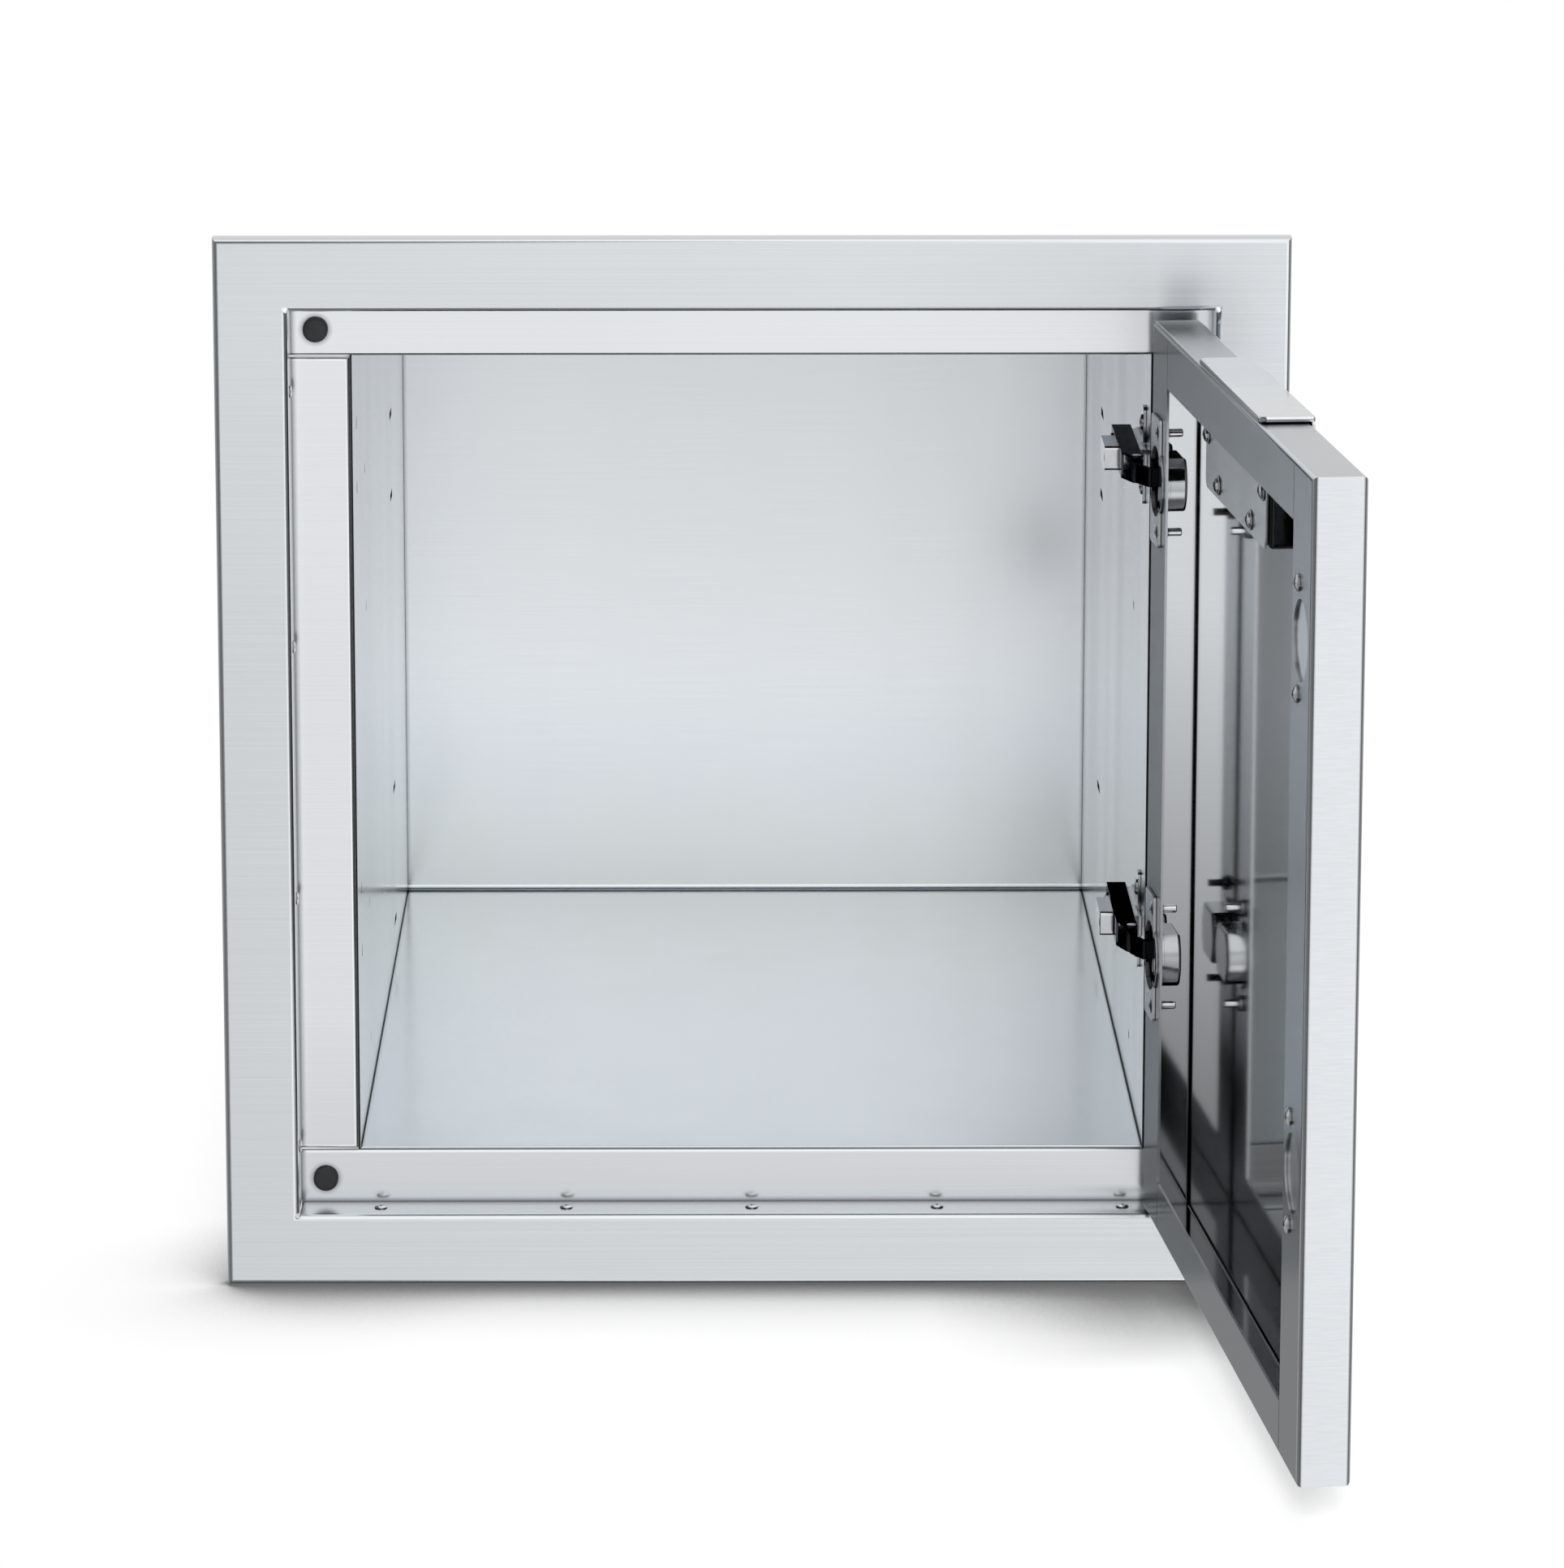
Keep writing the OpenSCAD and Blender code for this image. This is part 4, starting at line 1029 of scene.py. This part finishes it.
class CABINET_OT_hinge_cups(Operator):
    """Makes the hinge cups in the door, with their screws, rivet nuts and pins"""

    bl_idname = "cabinet.hinge_cups"
    bl_label = "Hinge cups"

    def execute(self, context):
        made = self.make_cup()
        for part, height in zip(("lower", "upper"), DOOR_HINGES):
            place = DOOR @ Matrix.Translation((0, 0, height * MM))
            piece = copy_at(made, f"{part}_cup", place)
            finish_piece(piece, "door", "plated", f"{part}_hinge_cup")
            paint(piece, "cup_plate", self.is_plate)
        bpy.data.objects.remove(made)
        heights = [height + rise for height in DOOR_HINGES for rise in HOLE_SCREW_RISES]
        screw = make_screw("cup_screw", 7.6, 1.4, 4.0, 11.1)
        places = [door_place(CUP_SCREW_U, -1.0, z) for z in heights]
        spread_copies(screw, "cup_screw", places, "door")
        places = [door_place(CUP_SCREW_U, 0, z) for z in heights]
        spread_copies(make_rivet_nut("cup_nut"), "cup_nut", places, "door")
        places = [door_place(*CUP_PIN, z - 11.95, (0, 0, 1)) for z in DOOR_HINGES]
        spread_copies(make_pin("cup_pin", 3.0, 23.9), "cup_pin", places, "door")
        return {"FINISHED"}

    def make_cup(self):
        """A cup with its screw plate, made about the door's height zero."""
        body = self.drum("hinge_cup", 17.3, 0, 11.5)
        self.flatten(body, 12.75, (-5, 30))
        round_edges(body, 1.5 * MM, 5, 60)
        weld_on(body, self.drum("collar", 17.5, -1, 3))
        plate = rounded_span("plate", (8, 33), (-1.6, 0), (-31, 31), 2.5, 6)
        round_edges(plate, 0.22 * MM, 3, 60)
        weld_on(body, plate)
        hollow = self.drum("hollow", 16.5, -3, 10.5)
        self.flatten(hollow, 11.75, (2, 30))
        cut_away(body, hollow)
        cut_away(body, self.drum("mouth", 16.9, -2.8, 0.6))
        for rise in HOLE_SCREW_RISES:
            for radius, long, t, sides in ((2.2, 20, -1, 32), (4, 2, -2, 40)):
                spot = (CUP_SCREW_U * MM, t * MM, rise * MM)
                cut_away(body, add_cylinder("hole", radius * MM, long * MM, spot, "Y", sides))
        round_edges(body, 0.25 * MM, 2)
        return body

    def drum(self, name, radius, low, high):
        """A cylinder about the cup's axis, between two depths in the door."""
        middle = (CUP_U * MM, (low + high) / 2 * MM, 0)
        return add_cylinder(name, radius * MM, (high - low) * MM, middle, "Y", 96)

    def flatten(self, piece, half, depths):
        """Cuts two flats, half above and below the cup's middle."""
        for side in (-1, 1):
            rise = sorted((side * half, side * 30))
            cut_away(piece, door_span("waste", (-10, 60), depths, rise))

    def is_plate(self, middle, normal):
        return in_door(middle)[1] < -0.2


class CABINET_OT_hinge_arms(Operator):
    """Makes the hinges' cabinet side: mounting plates, arms, dampers, links, pins and screws"""

    bl_idname = "cabinet.hinge_arms"
    bl_label = "Hinge arms"

    def execute(self, context):
        for part in ("lower", "upper"):
            # The arms and links take dark finishes, painted shade for the dark they reflect
            for name, ease, body, material, slot in (
                ("mounting_plate", 0.3, "cabinet", "plated", "hinge_metal"),
                ("hinge_arm", 0.25, "cabinet", "hinge_arm", "hinge_metal"),
                ("damper", 0.8, "cabinet", "plated", "hinge_metal"),
                ("hinge_link", 0.45, f"{part}_link", "link_painted_shade", "dark_link"),
            ):
                piece = merged_copy(f"{part}_{name}", "_shape")
                round_edges(piece, ease * MM, 3)
                finish_piece(piece, body, material, f"{part}_{name}")
        screw = make_screw("plate_screw", 7.6, 1.6, 4.0, 11.0)
        places = self.beside(PLATE_FACE_X, [PLATE_SCREW_Y], PLATE_SCREW_RISES)
        spread_copies(screw, "mounting_plate_screw", places, "cabinet")
        places = self.beside(INSIDE_X, [PLATE_SCREW_Y], PLATE_SCREW_RISES)
        spread_copies(make_rivet_nut("plate_nut"), "mounting_plate_nut", places, "cabinet")
        screw = make_screw("arm_screw", 7.6, 1.8, 4.0, 7.0)
        places = self.beside(ARM_FACE_X, ARM_SCREW_YS, [0])
        spread_copies(screw, "hinge_arm_screw", places, "cabinet")
        places = [
            facing((*ARM_PIN, z + side * ARM_PIN_RISE), (0, 0, side))
            for z in HINGE_HEIGHTS
            for side in (-1, 1)
        ]
        spread_copies(make_pin("arm_pin", 3.0, 1.5, 0.6), "hinge_arm_pin", places, "cabinet")
        return {"FINISHED"}

    def beside(self, x, ys, rises):
        """Places that face away from the side panel, at both hinges."""
        return [
            facing((x, y, z + rise), (-1, 0, 0))
            for z in HINGE_HEIGHTS
            for y in ys
            for rise in rises
        ]


class CABINET_OT_stage(Operator):
    """Makes the floor, the light and the camera"""

    bl_idname = "cabinet.stage"
    bl_label = "Stage"

    def execute(self, context):
        stage = context.scene.cabinet_stage
        self.make_floor(stage)
        self.make_world(context.scene, stage)
        self.make_lamp(stage)
        self.make_camera(context.scene, stage)
        context.scene.view_settings.view_transform = "Standard"
        return {"FINISHED"}

    def make_floor(self, stage):
        """A white floor that keeps the object's shadow, darkest where the cabinet stands on it."""
        start_clean()
        bpy.ops.mesh.primitive_plane_add(size=60, location=(0, 0, -0.0006))
        floor = name_piece("floor")
        material, tree, shader = new_material("white_floor")
        shader.inputs["Base Color"].default_value = (0.8, 0.8, 0.8, 1)
        shader.inputs["Roughness"].default_value = 1.0
        shader.inputs["Specular IOR Level"].default_value = 0.0
        place = node(tree, "TexCoord").outputs["Object"]
        axes = node(tree, "SeparateXYZ")
        link(place, axes.inputs[0])

        # The contact shadow: deep under the door, and a close one along the frame's foot
        stops = (
            (0.50, 0.15), (0.56, 0.17), (0.59, 0.20), (0.63, 0.28), (0.70, 0.40),
            (0.75, 0.52), (0.82, 0.71), (0.90, 0.89), (0.95, 1.0),
        )
        deep = tone_ramp(self.closeness(tree, stage.shadow_reach), stops)
        behind = spread(axes.outputs["Y"], 1.0, 0.0, -0.15, -0.02)
        stops = ((0.50, 0.40), (0.58, 0.52), (0.68, 0.72), (0.80, 0.90), (0.92, 1.0))
        hug = tone_ramp(self.closeness(tree, stage.shadow_reach * 0.4), stops)
        depth = reckon("MINIMUM", reckon("MAXIMUM", deep, behind), hug)

        # None of it on the door's outer side
        beside = node(tree, "VectorMath", operation="DOT_PRODUCT")
        beside.inputs[1].default_value = (1, -math.cos(DOOR_TURN) / math.sin(DOOR_TURN), 0)
        link(place, beside.inputs[0])
        outside = spread(beside.outputs["Value"], 0.0, 1.0, 0.222, 0.245)
        depth = reckon("MAXIMUM", depth, outside)

        # Lit by the lamp near the door, and white of its own further away
        from_door = node(tree, "VectorMath", operation="DISTANCE")
        from_door.inputs[1].default_value = (0.2, -0.22, 0)
        link(place, from_door.inputs[0])
        apart = spread(from_door.outputs["Value"], 0.0, 1.0, 0.30, 0.42)
        apart = reckon("MAXIMUM", apart, outside)
        own_light = spread(apart, stage.own_light, 1.0, 0.0, 1.0)
        white = spread(apart, 0.8, 0.0, 0.0, 1.0)
        glow = node(tree, "Emission", Color=(1, 1, 1, 1))
        lit = node(tree, "BsdfDiffuse")
        both = node(tree, "AddShader")
        link(reckon("MULTIPLY", depth, own_light), glow.inputs["Strength"])
        link(reckon("MULTIPLY", depth, white), lit.inputs["Color"])
        link(lit.outputs[0], both.inputs[0])
        link(glow.outputs[0], both.inputs[1])
        path = node(tree, "LightPath").outputs
        seen = self.either(path["Is Camera Ray"], shader, both)
        link(seen.outputs[0], tree.nodes["Material Output"].inputs["Surface"])
        floor.data.materials.append(material)
        floor.visible_glossy = False

    def closeness(self, tree, reach):
        """How open the floor lies to what stands within reach."""
        return node(tree, "AmbientOcclusion", Distance=reach, samples=12).outputs["AO"]

    def either(self, choice, no, yes):
        """The shader no where choice is 0, and yes where it is 1."""
        mix = node(choice.id_data, "MixShader")
        link(choice, mix.inputs["Fac"])
        link(no.outputs[0], mix.inputs[1])
        link(yes.outputs[0], mix.inputs[2])
        return mix

    def make_world(self, scene, stage):
        """White to the camera, dim to diffuse light, and a studio's cards to glossy metal."""
        world = bpy.data.worlds.new("studio")
        scene.world = world
        world.use_nodes = True
        tree = world.node_tree
        lit = tree.nodes["Background"]
        lit.inputs["Color"].default_value = (1, 1, 1, 1)
        lit.inputs["Strength"].default_value = 0.15
        white = node(tree, "Background", Color=(1, 1, 1, 1), Strength=1.0)
        studio = node(tree, "Background", Color=(1, 1, 1, 1))
        axes = node(tree, "SeparateXYZ")
        link(node(tree, "TexCoord").outputs["Generated"], axes.inputs[0])
        across = spread(axes.outputs["X"], 0.0, 1.0, -1.0, 1.0)
        height = spread(axes.outputs["Z"], 0.0, 1.0, -1.0, 1.0)
        dark = stage.dark_tone / TOP_TONE
        flag = stage.flag_tone / TOP_TONE
        front = stage.front_tone / TOP_TONE
        stops = (
            (0.10, 0.12), (0.17, 0.85), (0.24, 0.90), (0.30, front * 0.86), (0.36, front * 0.92),
            (0.41, front), (0.46, front * 1.08), (0.51, front * 1.12), (0.58, front * 0.96),
            (0.63, front * 0.98), (0.70, 0.94), (0.96, 0.94), (0.98, 0.7),
        )
        middle = tone_ramp(height, stops)
        stops = (
            (0.10, dark * 1.5), (0.20, dark), (0.22, dark * 0.25), (0.275, dark * 0.25),
            (0.30, 0.30), (0.33, 0.30), (0.35, flag), (0.405, flag), (0.43, front),
            (0.58, front), (0.62, 0.80), (0.66, 0.95), (0.72, 0.92), (0.80, 0.64),
            (0.91, 0.55), (0.95, dark),
        )
        cards = tone_ramp(across, stops)
        beside = tone_ramp(across, ((0.405, 1.0), (0.43, 0.0), (0.58, 0.0), (0.62, 1.0)))
        rear = tone_ramp(across, ((0.10, 0.42), (0.35, 0.60), (0.65, 0.60), (0.90, 0.42)))
        low = tone_ramp(height, ((0.43, 0.30), (0.50, 0.60)))
        turned = spread(axes.outputs["Y"], 0.0, 1.0, 0.0, 0.3)
        ahead = between(beside, middle, cards)
        tone = between(turned, ahead, reckon("MINIMUM", rear, low))
        link(reckon("MULTIPLY", tone, TOP_TONE), studio.inputs["Strength"])
        path = node(tree, "LightPath").outputs
        glossy = self.either(path["Is Glossy Ray"], lit, studio)
        clear = reckon("MAXIMUM", path["Is Camera Ray"], path["Is Transmission Ray"])
        seen = self.either(clear, glossy, white)
        link(seen.outputs[0], tree.nodes["World Output"].inputs["Surface"])

    def make_lamp(self, stage):
        """A low key lamp beside the camera that lays the door's shadow behind its foot."""
        start_clean()
        bpy.ops.object.light_add(type="AREA", location=LAMP_PLACE)
        lamp = bpy.context.object
        lamp.name = "key_light"
        lamp.data.shape = "RECTANGLE"
        lamp.data.size, lamp.data.size_y = LAMP_SIZE
        lamp.data.energy = stage.key_power
        aim = Vector(LAMP_AIM) - lamp.location
        lamp.rotation_euler = aim.to_track_quat("-Z", "Y").to_euler()
        lamp.visible_glossy = False

    def make_camera(self, scene, stage):
        """The camera at the photograph's viewing angle."""
        start_clean()
        bpy.ops.object.camera_add(location=CAMERA_PLACE, rotation=CAMERA_TURN)
        camera = bpy.context.object
        camera.name = "camera"
        camera.data.sensor_width = 36
        camera.data.lens = stage.lens
        camera.data.shift_x, camera.data.shift_y = CAMERA_SHIFT
        camera.data.clip_start = 0.1
        camera.data.clip_end = 60
        scene.camera = camera


class CABINET_PT_panel(Panel):
    """The cabinet's settings and the steps that make it"""

    bl_idname = "CABINET_PT_panel"
    bl_label = "Cabinet"
    bl_space_type = "VIEW_3D"
    bl_region_type = "UI"
    bl_category = "Cabinet"

    def draw(self, context):
        for group in SETTINGS:
            settings = getattr(context.scene, group)
            box = self.layout.box()
            for name in settings.__annotations__:
                box.prop(settings, name)
        column = self.layout.column(align=True)
        for step in STEPS:
            column.operator(step.bl_idname)


SETTINGS = {
    "cabinet_sizes": CabinetSizes,
    "cabinet_steel": CabinetSteel,
    "cabinet_stage": CabinetStage,
}
STEPS = (
    CABINET_OT_stage,
    CABINET_OT_face_frame,
    CABINET_OT_stops,
    CABINET_OT_box,
    CABINET_OT_frame_screws,
    CABINET_OT_bumpers,
    CABINET_OT_door,
    CABINET_OT_handle,
    CABINET_OT_handle_screws,
    CABINET_OT_hole_covers,
    CABINET_OT_hinge_cups,
    CABINET_OT_hinge_arms,
)


def register():
    for group, settings in SETTINGS.items():
        bpy.utils.register_class(settings)
        setattr(bpy.types.Scene, group, PointerProperty(type=settings))
    for made in (*STEPS, CABINET_PT_panel):
        bpy.utils.register_class(made)


def unregister():
    for made in reversed((*STEPS, CABINET_PT_panel)):
        bpy.utils.unregister_class(made)
    for group, settings in reversed(SETTINGS.items()):
        delattr(bpy.types.Scene, group)
        bpy.utils.unregister_class(settings)


def main():
    """Runs every step in order."""
    register()
    for step in STEPS:
        group, name = step.bl_idname.split(".")
        getattr(getattr(bpy.ops, group), name)()


if __name__ == "__main__":
    main()
